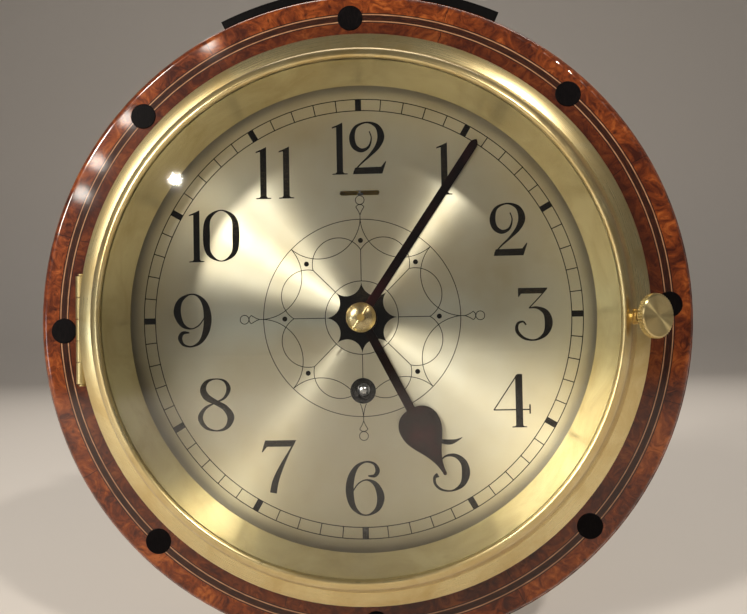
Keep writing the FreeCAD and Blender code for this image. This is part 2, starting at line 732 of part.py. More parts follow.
KNOB_CHAMFER = (0.5, 0.4)         # radial, axial
KNOB_NECK = (5.2, 1.6)            # radius under the head, height
KNOB_STEM_START = 3.3
SPINDLE_END = 11.0
KEEPER_POST = (110.1, 112.4)
KEEPER_POST_TOP = 67.9
KEEPER_LIP = (2.4, 1.8, 1.0)      # width, distance from the axis, thickness
KEEPER_GAP = 0.3                  # between the closed cam and the lip


def knob_cone(low_r, high_r, low, height):
    return Part.makeCone(low_r, high_r, height, FreeCAD.Vector(0, 0, low))


def make_knob():
    low, high = KNOB_HEAD
    inset, bevel = KNOB_CHAMFER
    neck_r, neck_height = KNOB_NECK
    notch = 360.0 / KNURL_COUNT
    outline = []
    for i in range(KNURL_COUNT):
        for share, radius in ((0.0, KNOB_R), (0.3, KNOB_R), (0.65, KNOB_R - KNURL_DEPTH)):
            x, y = polar(radius, notch * (i + share))
            outline.append(FreeCAD.Vector(x, y, low + bevel))
    edge = Part.Face(Part.makePolygon(outline + outline[:1]))
    rim = edge.extrude(FreeCAD.Vector(0, 0, high - low - 2 * bevel))
    smooth = KNOB_R - KNURL_DEPTH
    head = [rim, knob_cone(smooth - inset, smooth, low, bevel),
            knob_cone(smooth, smooth - inset, high - bevel, bevel)]
    neck = knob_cone(KNOB_STEM_R, neck_r, low - neck_height, neck_height)
    stem = along_latch(KNOB_STEM_R, KNOB_STEM_START, low - neck_height + 0.1)
    bore = along_latch(SPINDLE_R, 0.0, SPINDLE_END)
    return latch_frame(union(head + [neck, stem]).cut(bore))


def make_spindle():
    """The knob's spindle, ending in a half-round cam that catches under the keeper."""
    low, high = DOG_SPAN
    cam = along_latch(DOG_R, low, high)
    half = Part.makeBox(2 * DOG_R, DOG_R, high - low, FreeCAD.Vector(-DOG_R, -DOG_R, low))
    return latch_frame(union([along_latch(SPINDLE_R, low, SPINDLE_END), cam.common(half)]))


def make_keeper():
    """A small post on the drum's ledge whose lip the latch's cam turns under."""
    half_foot, half_post = 3.5, 1.5
    width, reach, thick = KEEPER_LIP
    foot_top = DIAL_BACK + KEEPER_FOOT
    foot = box(KEEPER_POST[0], 120.5, DIAL_BACK, foot_top, KEEPER_Z - half_foot, KEEPER_Z + half_foot)
    post = box(*KEEPER_POST, DIAL_BACK, KEEPER_POST_TOP, KEEPER_Z - half_post, KEEPER_Z + half_post)
    lip = Part.makeBox(width, 2.4, thick, FreeCAD.Vector(-width / 2, reach, DOG_SPAN[1] + KEEPER_GAP))
    hole = disc(KEEPER_SCREW[2], DIAL_BACK, foot_top, KEEPER_SCREW_X, KEEPER_Z)
    return union([foot, post, latch_frame(lip)]).cut(hole)


def make_keeper_screw():
    return screw(KEEPER_SCREW_X, KEEPER_Z, DIAL_BACK + KEEPER_FOOT, KEEPER_SCREW)


# ---- movement frame -----------------------------------------------------------------------------

def train_axes():
    """Each arbor's axis and its pivot radius."""
    return [(BARREL, BARREL_PIVOT), (INTER, INTER_PIVOT), (CENTRE, CENTRE_PIVOT), (THIRD, THIRD_PIVOT),
            (FOURTH, FOURTH_PIVOT), (BALANCE, BALANCE_PIVOT)]


def pillar_places():
    return [polar(PILLAR_PITCH_R, angle) for angle in PILLAR_ANGLES]


def bridge_feet():
    return [(ESCAPE[0] - 8.6, ESCAPE[1] + 3.0), (LEVER[0] - 2.2, LEVER[1] + 8.7)]


def make_back_plate():
    low, high = BACK_PLATE
    cuts = [disc(pivot + RUNNING, low, high, *at) for at, pivot in train_axes()]
    cuts += [disc(PILLAR_SCREW[2], low, high, *at) for at in pillar_places()]
    return disc(PLATE_R, low, high).cut(cuts)


CURB_PIN_RADII = (5.15, 5.73)     # the outermost coil of the hairspring plays between them
CURB_PIN_R = 0.15
CURB_ROOM = 0.56
INDEX_SEAT = (2.6, 1.9)           # radius, height


def curb_slot(low, high):
    """The arc that the regulator's curb pins sweep below the balance staff."""
    ring = tube(CURB_PIN_RADII[1] + CURB_ROOM, CURB_PIN_RADII[0] - CURB_ROOM, low, high, *BALANCE)
    x, z = BALANCE
    reach = 10.0
    wedge = flat_piece([(x, z), (x - reach / 2, z - reach), (x + reach / 2, z - reach)], low, high)
    return ring.common(wedge)


def lower_train_holes(low, high):
    """The pivot holes of the escape wheel and the lever, which run to the bridge only."""
    return [disc(ESCAPE_PIVOT + RUNNING, low, high, *ESCAPE), disc(LEVER_PIVOT + RUNNING, low, high, *LEVER)]


def make_front_plate():
    low, high = FRONT_PLATE
    cuts = [disc(pivot + RUNNING, low, high, *at) for at, pivot in train_axes()]
    cuts += lower_train_holes(low, high)
    cuts += [disc(PILLAR_SCREW[2], low, high, *at) for at in pillar_places()]
    cuts += [disc(FOOT_R + 0.1, low, high, *polar(FOOT_PITCH_R, angle)) for angle in FOOT_ANGLES]
    cuts.append(curb_slot(low, high))
    plate = disc(PLATE_R, low, high).cut(cuts)
    seat_r, seat_height = INDEX_SEAT
    stud = disc(STUD_R, high, MINUTE_PINION_TOP + 0.5, *MINUTE_STUD)
    index_seat = tube(seat_r, BALANCE_PIVOT + RUNNING, high, high + seat_height, *BALANCE)
    click_stud = disc(STUD_R, high, RATCHET_RISE[1], *CLICK)
    return union([plate, stud, index_seat, click_stud])


def make_pillars():
    """Turned pillars with a waist, tapped at both ends."""
    low, high = BACK_PLATE[1], FRONT_PLATE[0]
    waist, collar, sweep, tapped = PILLAR_R - 0.9, 3.0, 4.5, 7.0
    body = spun_polygon([(0, low), (PILLAR_R, low), (PILLAR_R, low + collar), (waist, low + sweep),
                         (waist, high - sweep), (PILLAR_R, high - collar), (PILLAR_R, high), (0, high)])
    body = body.cut([disc(PILLAR_SCREW[2], low, low + tapped), disc(PILLAR_SCREW[2], high - tapped, high)])
    return group([moved(body, x, 0, z) for x, z in pillar_places()])


def make_pillar_screws():
    screws = []
    for x, z in pillar_places():
        screws.append(screw(x, z, FRONT_PLATE[1], PILLAR_SCREW))
        screws.append(screw(x, z, BACK_PLATE[0], PILLAR_SCREW, way=-1))
    return group(screws)


def make_escapement_bridge():
    low, high = BRIDGE_RISE
    width, post_r = 4.0, 1.8
    near, far = bridge_feet()
    stops = [near, ESCAPE, LEVER, far]
    bars = [bar(a, b, width, low, high) for a, b in zip(stops, stops[1:])]
    posts = [disc(post_r, high, FRONT_PLATE[0], *at) for at in (near, far)]
    return union(bars + posts).cut(lower_train_holes(low, high))


# ---- winding work -------------------------------------------------------------------------------

RATCHET_TEETH = 30
RATCHET_R = 9.5
RATCHET_DEPTH = 1.3
CLICK = (13.4, -46.2)
RATCHET_RISE = (36.1, 38.1)
BARREL_R = 24.5
BARREL_WALL = 1.0
COVER_THICK = 1.2
ARBOR_R = 3.0
HUB_R = 6.5
MAINSPRING_RISE = (16.5, 24.3)
MAINSPRING_THICK = 0.5
SPRING_RISE = (36.4, 37.6)
WINDING_SQUARE = 3.8
WINDING_DOME_R = 3.4
WINDING_END = 44.2


def make_barrel():
    low, high = GREAT_RISE
    floor_top = high + BARREL_WALL
    great = wheel(BARREL, GREAT_TEETH, GREAT_MODULE, INTER_PINION, bearing(BARREL, INTER), GREAT_RISE)
    wall = tube(BARREL_R, BARREL_R - BARREL_WALL, high, BARREL_TOP, *BARREL)
    floor = disc(BARREL_R, high, floor_top, *BARREL)
    return union([great, wall, floor]).cut(disc(ARBOR_R + RUNNING, low, floor_top, *BARREL))


def make_barrel_cover():
    return tube(BARREL_R - BARREL_WALL, ARBOR_R + RUNNING, BARREL_TOP - COVER_THICK, BARREL_TOP, *BARREL)


def make_barrel_arbor():
    """The winding arbor; its squared end is domed to take a key easily."""
    x, z = BARREL
    half = WINDING_SQUARE / 2
    square = box(x - half, x + half, RATCHET_RISE[1], WINDING_END, z - half, z + half)
    dome = Part.makeSphere(WINDING_DOME_R, vec(x, WINDING_END - WINDING_DOME_R, z))
    shank = disc(WINDING_SQUARE, RATCHET_RISE[1], WINDING_END - WINDING_DOME_R * 0.4, x, z)
    end = square.common(union([shank, dome]))
    low, high = MAINSPRING_RISE
    return union([disc(BARREL_PIVOT, BACK_PLATE[0] + PIVOT_SHORT, RATCHET_RISE[1], x, z),
                  disc(ARBOR_R, BACK_PLATE[1] + 0.2, FRONT_PLATE[0] - 0.2, x, z),
                  disc(HUB_R, low - 0.2, high + 0.2, x, z), end])


def make_ratchet_wheel():
    points = []
    for i in range(RATCHET_TEETH):
        pitch = 360.0 / RATCHET_TEETH
        points.append(polar(RATCHET_R, pitch * i))
        points.append(polar(RATCHET_R - RATCHET_DEPTH, pitch * (i + 0.12)))
    points = [(x + BARREL[0], z + BARREL[1]) for x, z in points]
    return flat_piece(points, *RATCHET_RISE).cut(disc(BARREL_PIVOT, *RATCHET_RISE, *BARREL))


def make_click():
    low, high = RATCHET_RISE
    nose = (BARREL[0] + RATCHET_R + 0.35, BARREL[1] + 0.9)
    heel = (CLICK[0] - 1.9, CLICK[1])
    toe = (CLICK[0] + 1.4, CLICK[1] + 1.4)
    arm = flat_piece([heel, (nose[0], nose[1] - 1.3), nose, (nose[0] + 2.0, nose[1] - 0.6), toe], low, high)
    return union([arm, disc(2.6, low, high, *CLICK)]).cut(disc(STUD_R + RUNNING, low, high, *CLICK))


def make_click_spring():
    """A bowed strip that presses the click into the ratchet."""
    low, high = SPRING_RISE
    start, middle, end = (23.5, -45.0), (19.5, -36.5), (13.3, -34.4)
    thick = 0.5

    def bow(shift):
        pts = [vec(x + shift, low, z + shift) for x, z in (start, middle, end)]
        return Part.Arc(*pts).toShape(), pts[0], pts[2]

    inner, inner_start, inner_end = bow(0.0)
    outer, outer_start, outer_end = bow(thick)
    strip = slab([Part.Wire([inner, Part.makeLine(inner_end, outer_end), outer,
                             Part.makeLine(outer_start, inner_start)])], low, high)
    foot = disc(2.2, FRONT_PLATE[1], high + 0.4, start[0] + 0.4, start[1] - 1.2)
    return union([strip, foot])


def spiral_strip(at, start_r, end_r, turns, thick, rise):
    """A spring strip coiled as half circles about two alternating centres."""
    low, high = rise
    halves = 2 * turns
    step = (end_r - start_r) / halves
    bounds = []
    for shift in (0.0, thick):
        edges = []
        for i in range(halves):
            way = 1 if i % 2 == 0 else -1
            radius = start_r + i * step + shift
            x, z = at[0], at[1] + (0.0 if way == 1 else step)
            edges.append(Part.Arc(vec(x, low, z + way * radius), vec(x + way * radius, low, z),
                                  vec(x, low, z - way * radius)).toShape())
        first = vec(at[0], low, at[1] + start_r + shift)
        last = vec(at[0], low, at[1] + end_r + shift)
        bounds.append((edges, first, last))
    (inner, inner_first, inner_last), (outer, outer_first, outer_last) = bounds
    ends = [Part.makeLine(inner_last, outer_last), Part.makeLine(outer_first, inner_first)]
    return slab([Part.Wire(Part.__sortEdges__(inner + outer + ends))], low, high)


def make_mainspring():
    outer = BARREL_R - BARREL_WALL - MAINSPRING_THICK - 0.2
    return spiral_strip(BARREL, HUB_R + 0.1, outer, 12, MAINSPRING_THICK, MAINSPRING_RISE)


# ---- going train --------------------------------------------------------------------------------

def make_intermediate_wheel():
    hub_r = 4.0
    return union([wheel(INTER, INTER_TEETH, INTER_MODULE, CENTRE_PINION, bearing(INTER, CENTRE), INTER_RISE,
                        hub_r, 5),
                  disc(hub_r, INTER_RISE[0] - 0.6, INTER_RISE[1], *INTER),
                  pinion(INTER, INTER_PINION, GREAT_MODULE, bearing(INTER, BARREL), INTER_PINION_RISE),
                  arbor(INTER, 1.4, INTER_PIVOT)])


def make_centre_wheel():
    """The centre arbor runs out through the dial to carry the hands."""
    body = union([wheel(CENTRE, CENTRE_TEETH, CENTRE_MODULE, THIRD_PINION, bearing(CENTRE, THIRD),
                        CENTRE_RISE, 4.0, 5),
                  pinion(CENTRE, CENTRE_PINION, INTER_MODULE, bearing(CENTRE, INTER), CENTRE_PINION_RISE),
                  arbor(CENTRE, 1.9, CENTRE_PIVOT),
                  disc(CENTRE_PIVOT, FRONT_PLATE[0], CENTRE_END)])
    return body.cut(make_taper_pin())


def make_third_wheel():
    hub_r = 3.2
    return union([wheel(THIRD, THIRD_TEETH, THIRD_MODULE, FOURTH_PINION, bearing(THIRD, FOURTH), THIRD_RISE,
                        hub_r, 5),
                  disc(hub_r, THIRD_RISE[1], THIRD_RISE[1] + 0.6, *THIRD),
                  pinion(THIRD, THIRD_PINION, CENTRE_MODULE, bearing(THIRD, CENTRE), THIRD_PINION_RISE),
                  arbor(THIRD, 1.0, THIRD_PIVOT)])


def make_fourth_wheel():
    hub_r = 2.6
    return union([wheel(FOURTH, FOURTH_TEETH, FOURTH_MODULE, ESCAPE_PINION, bearing(FOURTH, ESCAPE),
                        FOURTH_RISE, hub_r, 5),
                  disc(hub_r, FOURTH_RISE[1], FOURTH_RISE[1] + 0.6, *FOURTH),
                  pinion(FOURTH, FOURTH_PINION, THIRD_MODULE, bearing(FOURTH, THIRD), FOURTH_PINION_RISE),
                  arbor(FOURTH, 0.9, FOURTH_PIVOT)])


def make_escape_wheel():
    """Club-shaped teeth on a light crossed-out rim."""
    tip, heel, root = 6.2, 5.95, 4.7
    hub_r, rim_inner, spokes, spoke_width = 1.7, 3.9, 4, 1.0
    pitch = 360.0 / ESCAPE_TEETH
    points = []
    for i in range(ESCAPE_TEETH):
        for share, radius in ((0.0, tip), (0.16, heel), (0.24, root), (0.82, root)):
            points.append(beside(ESCAPE, radius, pitch * (i + share)))
    low, high = ESCAPE_RISE
    windows = crossing_wires(hub_r, rim_inner, spokes, spoke_width, *ESCAPE, low)
    rim = slab([flat_wire(points, low)] + windows, low, high)
    hub = disc(hub_r, high, high + 0.6, *ESCAPE)
    leaves = pinion(ESCAPE, ESCAPE_PINION, FOURTH_MODULE, bearing(ESCAPE, FOURTH), ESCAPE_PINION_RISE)
    return union([rim, hub, leaves, bridge_arbor(0.7, ESCAPE_PIVOT, *ESCAPE)])


def bridge_arbor(radius, pivot_r, x=0.0, z=0.0):
    """An arbor between the escapement bridge and the front plate."""
    shaft = disc(radius, BRIDGE_RISE[1] + END_SHAKE, FRONT_PLATE[0] - END_SHAKE, x, z)
    pivots = disc(pivot_r, BRIDGE_RISE[0] + 0.2, FRONT_PLATE[1] - PIVOT_SHORT, x, z)
    return union([shaft, pivots])


def make_pallet_lever():
    """A forked arm with two pallets; drawn about its own axis, the fork upward."""
    neck, fork, notch, notch_depth, step = 0.55, 1.0, 0.45, 1.0, 1.4
    pallet_out, pallet_in, pallet_low = 4.5, 3.8, -2.6
    half = [(notch, FORK_REACH - notch_depth), (notch, FORK_REACH), (fork, FORK_REACH),
            (fork, FORK_REACH - step), (neck, 1.0), (pallet_out, -0.2), (pallet_out, pallet_low),
            (pallet_in, pallet_low), (3.6, -1.5)]
    outline = half + [(-x, z) for x, z in reversed(half)]
    blade = flat_piece(outline, *LEVER_RISE)
    lever = union([blade, disc(1.3, *LEVER_RISE), bridge_arbor(0.6, LEVER_PIVOT)])
    return moved(turned(lever, bearing(ESCAPE, BALANCE)), LEVER[0], 0, LEVER[1])


def make_balance():
    low, high = BALANCE_RISE
    x, z = BALANCE
    hub_r, rim_inner, spokes, spoke_width = 2.2, BALANCE_R - 1.6, 3, 1.6
    circle = Part.Wire(Part.makeCircle(BALANCE_R, vec(x, low, z), FORWARD))
    rim = slab([circle] + crossing_wires(hub_r, rim_inner, spokes, spoke_width, x, z, low), low, high)
    roller = disc(2.6, *ROLLER_RISE, x, z)
    impulse_pin = disc(0.3, LEVER_RISE[0] - 0.3, ROLLER_RISE[0], x + 1.9, z)
    staff = disc(STAFF_R, BACK_PLATE[1] + 0.2, FRONT_PLATE[0] - 0.2, x, z)
    pivots = disc(BALANCE_PIVOT, BACK_PLATE[0] + PIVOT_SHORT, FRONT_PLATE[1] - PIVOT_SHORT, x, z)
    return union([rim, roller, impulse_pin, staff, pivots])


def make_hairspring():
    low, high = HAIRSPRING_RISE
    collet = tube(1.5, STAFF_R + RUNNING, low - 0.1, high + 0.1, *BALANCE)
    return union([collet, spiral_strip(BALANCE, 1.35, 6.0, 7, 0.2, HAIRSPRING_RISE)])


def make_hairspring_stud():
    x, z = BALANCE
    return box(x - 0.5, x + 0.5, HAIRSPRING_RISE[0] - 0.6, FRONT_PLATE[0], z + 6.2, z + 7.6)


def make_regulator():
    """An index turned about the balance's axis; its tip shows in the dial's slot."""
    low, high = FRONT_PLATE[1] + 0.2, FRONT_PLATE[1] + 1.4
    x, z = BALANCE
    ring = tube(7.4, INDEX_SEAT[0] + RUNNING, low, high, x, z)
    arm_foot, arm_end = z + 6.5, TIP_Z - 1.0
    arm = flat_piece([(x - 1.3, arm_foot), (x - 0.8, arm_end), (x + 0.8, arm_end), (x + 1.3, arm_foot)],
                     low, high)
    tip = disc(0.45, low, DIAL_RISE + 0.1, x, TIP_Z)
    tip_seat = disc(1.4, low, high, x, TIP_Z)
    pins = [disc(CURB_PIN_R, HAIRSPRING_RISE[0] - 0.4, high, x, z - radius) for radius in CURB_PIN_RADII]
    return union([ring, arm, tip_seat, tip] + pins)


# ---- motion work and hands ----------------------------------------------------------------------

CANNON_R = 2.9
HOUR_PIPE_R = 4.2
HOUR_PIPE_TOP = 49.0
HOUR_BLADE = (47.2, 48.2)
HOUR_BOSS = (7.2, 46.6)           # radius, where it starts
MINUTE_BLADE = (50.6, 51.6)
MINUTE_BOSS = (6.0, 50.0)
COLLET_R = 6.7
COLLET_RISE = (53.0, 56.0)
CENTRE_END = 58.0
PIN_RISE = 57.0
PIN_ANGLE = 35.0
PIN_SIZE = (0.5, 12.0)            # radius, length


def make_cannon_pinion():
    low, high = CANNON_RISE
    top = COLLET_RISE[0]
    leaves = pinion(CENTRE, CANNON_TEETH, CANNON_MODULE, bearing(CENTRE, MINUTE_STUD), CANNON_RISE)
    return union([leaves, disc(CANNON_R, high, top)]).cut(disc(CENTRE_PIVOT + RUNNING, low, top))


def make_minute_wheel():
    toward = bearing(MINUTE_STUD, CENTRE)
    top = MINUTE_RISE[1]
    body = union([wheel(MINUTE_STUD, MINUTE_TEETH, CANNON_MODULE, CANNON_TEETH, toward, MINUTE_RISE, 3.6, 4),
                  pinion(MINUTE_STUD, MINUTE_PINION, HOUR_MODULE, toward, (top, MINUTE_PINION_TOP))])
    return body.cut(disc(STUD_R + RUNNING, MINUTE_RISE[0], MINUTE_PINION_TOP, *MINUTE_STUD))


def make_hour_wheel():
    low = HOUR_RISE[0]
    body = union([wheel(CENTRE, HOUR_TEETH, HOUR_MODULE, MINUTE_PINION, bearing(CENTRE, MINUTE_STUD),
                        HOUR_RISE, 5.4, 4),
                  disc(HOUR_PIPE_R, low, HOUR_PIPE_TOP)])
    return body.cut(disc(CANNON_R + RUNNING, low, HOUR_PIPE_TOP))


def make_hour_hand():
    """A straight bar that swells into a pear and runs out to a fine tip."""
    low, high = HOUR_BLADE
    boss_r, boss_low = HOUR_BOSS
    half_bar, half_pear, half_tip = 2.0, 9.5, 0.8
    root, neck, belly = 5.0, 46.8, 55.5
    shoulder = vec(half_bar, low, neck)
    cheek = vec(half_pear * math.sqrt(0.5), low, belly - half_pear * math.sqrt(0.5))
    widest = vec(half_pear, low, belly)
    end = vec(half_tip, low, HOUR_LENGTH - half_tip)
    swell = ((0.80, 7.0), (0.42, 13.0), (0.17, 18.5))
    taper = [vec(half_pear * share, low, belly + above) for share, above in swell]
    flank = Part.BSplineCurve()
    flank.interpolate([widest] + taper + [end])
    right = [Part.makeLine(vec(half_bar, low, root), shoulder),
             Part.Arc(shoulder, cheek, widest).toShape(),
             flank.toShape()]
    left = [edge.mirror(vec(0, 0, 0), FreeCAD.Vector(1, 0, 0)) for edge in right]
    point = Part.Arc(end, vec(0, low, HOUR_LENGTH), vec(-half_tip, low, HOUR_LENGTH - half_tip)).toShape()
    foot = Part.makeLine(vec(-half_bar, low, root), vec(half_bar, low, root))
    blade = slab([Part.Wire(Part.__sortEdges__(right + left + [point, foot]))], low, high)
    boss = disc(boss_r, boss_low, HOUR_PIPE_TOP)
    return turned(union([blade, boss]).cut(disc(HOUR_PIPE_R, boss_low, HOUR_PIPE_TOP)), HOUR_ANGLE)


def make_minute_hand():
    """A flat parallel bar with a rounded end."""
    low, high = MINUTE_BLADE
    boss_r, boss_low = MINUTE_BOSS
    half, root = 1.95, 4.0
    straight = MINUTE_LENGTH - 3.4
    shoulder_x, shoulder_z = half * 0.62, straight + 2.3
    tip = vec(0, low, MINUTE_LENGTH)
    outline = ((-half, root), (-half, straight), (half, straight), (half, root))
    corners = [vec(x, low, z) for x, z in outline]
    edges = [Part.makeLine(corners[0], corners[1]),
             Part.Arc(corners[1], vec(-shoulder_x, low, shoulder_z), tip).toShape(),
             Part.Arc(tip, vec(shoulder_x, low, shoulder_z), corners[2]).toShape(),
             Part.makeLine(corners[2], corners[3]),
             Part.makeLine(corners[3], corners[0])]
    blade = slab([Part.Wire(edges)], low, high)
    boss = disc(boss_r, boss_low, COLLET_RISE[0])
    return turned(union([blade, boss]).cut(disc(CANNON_R, boss_low, COLLET_RISE[0])), MINUTE_ANGLE)


def make_collet():
    """A domed washer that the taper pin holds down on the minute hand."""
    low, high = COLLET_RISE
    inner = CENTRE_PIVOT + RUNNING
    foot, head = (COLLET_R, low + 0.5), (inner, high)
    return spin([line((inner, low), (COLLET_R, low)),
                 line((COLLET_R, low), foot),
                 arc(foot, (COLLET_R * 0.72, low + 2.2), head),
                 line(head, (inner, low))])


def make_taper_pin():
    radius, length = PIN_SIZE
    x, z = polar(length / 2, PIN_ANGLE)
    return Part.makeCylinder(radius, length, vec(-x, PIN_RISE, -z), FreeCAD.Vector(x, 0, z))


# ---- export -------------------------------------------------------------------------------------

NODES = {
    "wood_surround": make_surround,
    "outer_stringing": lambda: make_inlay(STRING_OUTER),
    "dark_banding": lambda: make_inlay(BAND_DARK),
    "inner_stringing": lambda: make_inlay(STRING_INNER),
    "ebony_plugs": make_plugs,
    "hanging_plate": make_hanging_plate,
    "hanging_plate_screws": make_hanging_plate_screws,
    "case_drum": make_drum,
    "case_screws": make_case_screws,
    "back_cover": make_back_cover,
    "back_cover_lugs": make_back_cover_lugs,
    "back_cover_screws": make_back_cover_screws,
    "dial_plate": make_dial,
    "dial_screws": make_dial_screws,
    "winding_eyelet": make_winding_eyelet,
    "dial_feet": make_dial_feet,
    "dial_foot_pins": make_dial_foot_pins,
    "hinge_fixed_leaf": make_hinge_fixed_leaf,
    "hinge_pin": make_hinge_pin,
    "hinge_moving_leaf": make_hinge_moving_leaf,
    "bezel_ring": make_bezel,
    "sight_ring": make_sight_ring,
    "glass": make_glass,
    "latch_knob": make_knob,
    "latch_spindle": make_spindle,
    "latch_keeper": make_keeper,
    "keeper_screw": make_keeper_screw,
    "front_plate": make_front_plate,
    "back_plate": make_back_plate,
    "plate_pillars": make_pillars,
    "pillar_screws": make_pillar_screws,
    "escapement_bridge": make_escapement_bridge,
    "barrel": make_barrel,
    "barrel_cover": make_barrel_cover,
    "mainspring": make_mainspring,
    "barrel_arbor": make_barrel_arbor,
    "ratchet_wheel": make_ratchet_wheel,
    "click": make_click,
    "click_spring": make_click_spring,
    "intermediate_wheel": make_intermediate_wheel,
    "centre_wheel": make_centre_wheel,
    "third_wheel": make_third_wheel,
    "fourth_wheel": make_fourth_wheel,
    "escape_wheel": make_escape_wheel,
    "pallet_lever": make_pallet_lever,
    "balance_wheel": make_balance,
    "hairspring": make_hairspring,
    "hairspring_stud": make_hairspring_stud,
    "regulator_index": make_regulator,
    "cannon_pinion": make_cannon_pinion,
    "minute_wheel": make_minute_wheel,
    "hour_wheel": make_hour_wheel,
    "hour_hand": make_hour_hand,
    "minute_hand": make_minute_hand,
    "hand_collet": make_collet,
    "taper_pin": make_taper_pin,
}


def main():
    os.makedirs("parts", exist_ok=True)
    for name, make in NODES.items():
        shape = make()
        shape.exportStep(f"parts/{name}.step")
        print(f"{name:22s} solids {len(shape.Solids):2d}  volume {shape.Volume:12.2f}"
              f"  valid {shape.isValid()}")


main()
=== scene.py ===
"""Looks for a ship's deck clock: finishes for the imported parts, the dial's engraving, stage and camera.

Drawings on the dial are in millimetres, x to the right and z up from the hands' centre; the rest is metres.
"""
import json
import math
from collections import Counter

import bpy
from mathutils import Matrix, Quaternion, Vector


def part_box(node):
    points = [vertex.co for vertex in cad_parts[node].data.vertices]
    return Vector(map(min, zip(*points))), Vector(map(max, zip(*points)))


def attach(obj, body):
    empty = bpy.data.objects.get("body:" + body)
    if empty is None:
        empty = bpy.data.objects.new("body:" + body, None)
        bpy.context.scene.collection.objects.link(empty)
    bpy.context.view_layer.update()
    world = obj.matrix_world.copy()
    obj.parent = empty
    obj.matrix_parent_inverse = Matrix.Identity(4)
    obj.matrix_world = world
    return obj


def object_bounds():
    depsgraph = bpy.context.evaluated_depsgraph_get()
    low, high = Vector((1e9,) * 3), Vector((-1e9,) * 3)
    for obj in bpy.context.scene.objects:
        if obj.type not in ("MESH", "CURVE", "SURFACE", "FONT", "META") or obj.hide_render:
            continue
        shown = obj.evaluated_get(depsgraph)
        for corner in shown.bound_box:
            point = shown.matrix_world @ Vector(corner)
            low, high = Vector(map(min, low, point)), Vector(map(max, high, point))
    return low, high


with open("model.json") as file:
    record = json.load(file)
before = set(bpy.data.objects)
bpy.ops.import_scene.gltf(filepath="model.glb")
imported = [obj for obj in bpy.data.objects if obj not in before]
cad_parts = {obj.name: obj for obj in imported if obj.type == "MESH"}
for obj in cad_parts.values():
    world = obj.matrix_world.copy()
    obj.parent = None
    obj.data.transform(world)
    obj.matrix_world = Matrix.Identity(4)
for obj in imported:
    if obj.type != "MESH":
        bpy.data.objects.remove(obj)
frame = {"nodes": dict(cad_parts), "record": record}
cad_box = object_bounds()

MM = 0.001
CLOCK_AXIS = (0.0, 1.0, 0.0)
FAR = 1000.0                            # past any radius on the clock
DIAL_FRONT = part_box("dial_plate")[0][1]
EYELET_LOW, EYELET_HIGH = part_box("winding_eyelet")
WINDING_Z = (EYELET_LOW[2] + EYELET_HIGH[2]) / 2 / MM
EYELET_R = (EYELET_HIGH[0] - EYELET_LOW[0]) / 2 / MM
JOINTS = {joint["name"]: joint for joint in frame["record"]["behaviour"]["joints"]}


# ---- colour and shader helpers ------------------------------------------------------------------

def srgb(red, green, blue):
    """A display colour, 0 to 255, as the linear colour that shaders take."""
    linear = []
    for value in (red / 255, green / 255, blue / 255):
        linear.append(value / 12.92 if value <= 0.04045 else ((value + 0.055) / 1.055) ** 2.4)
    return (*linear, 1.0)


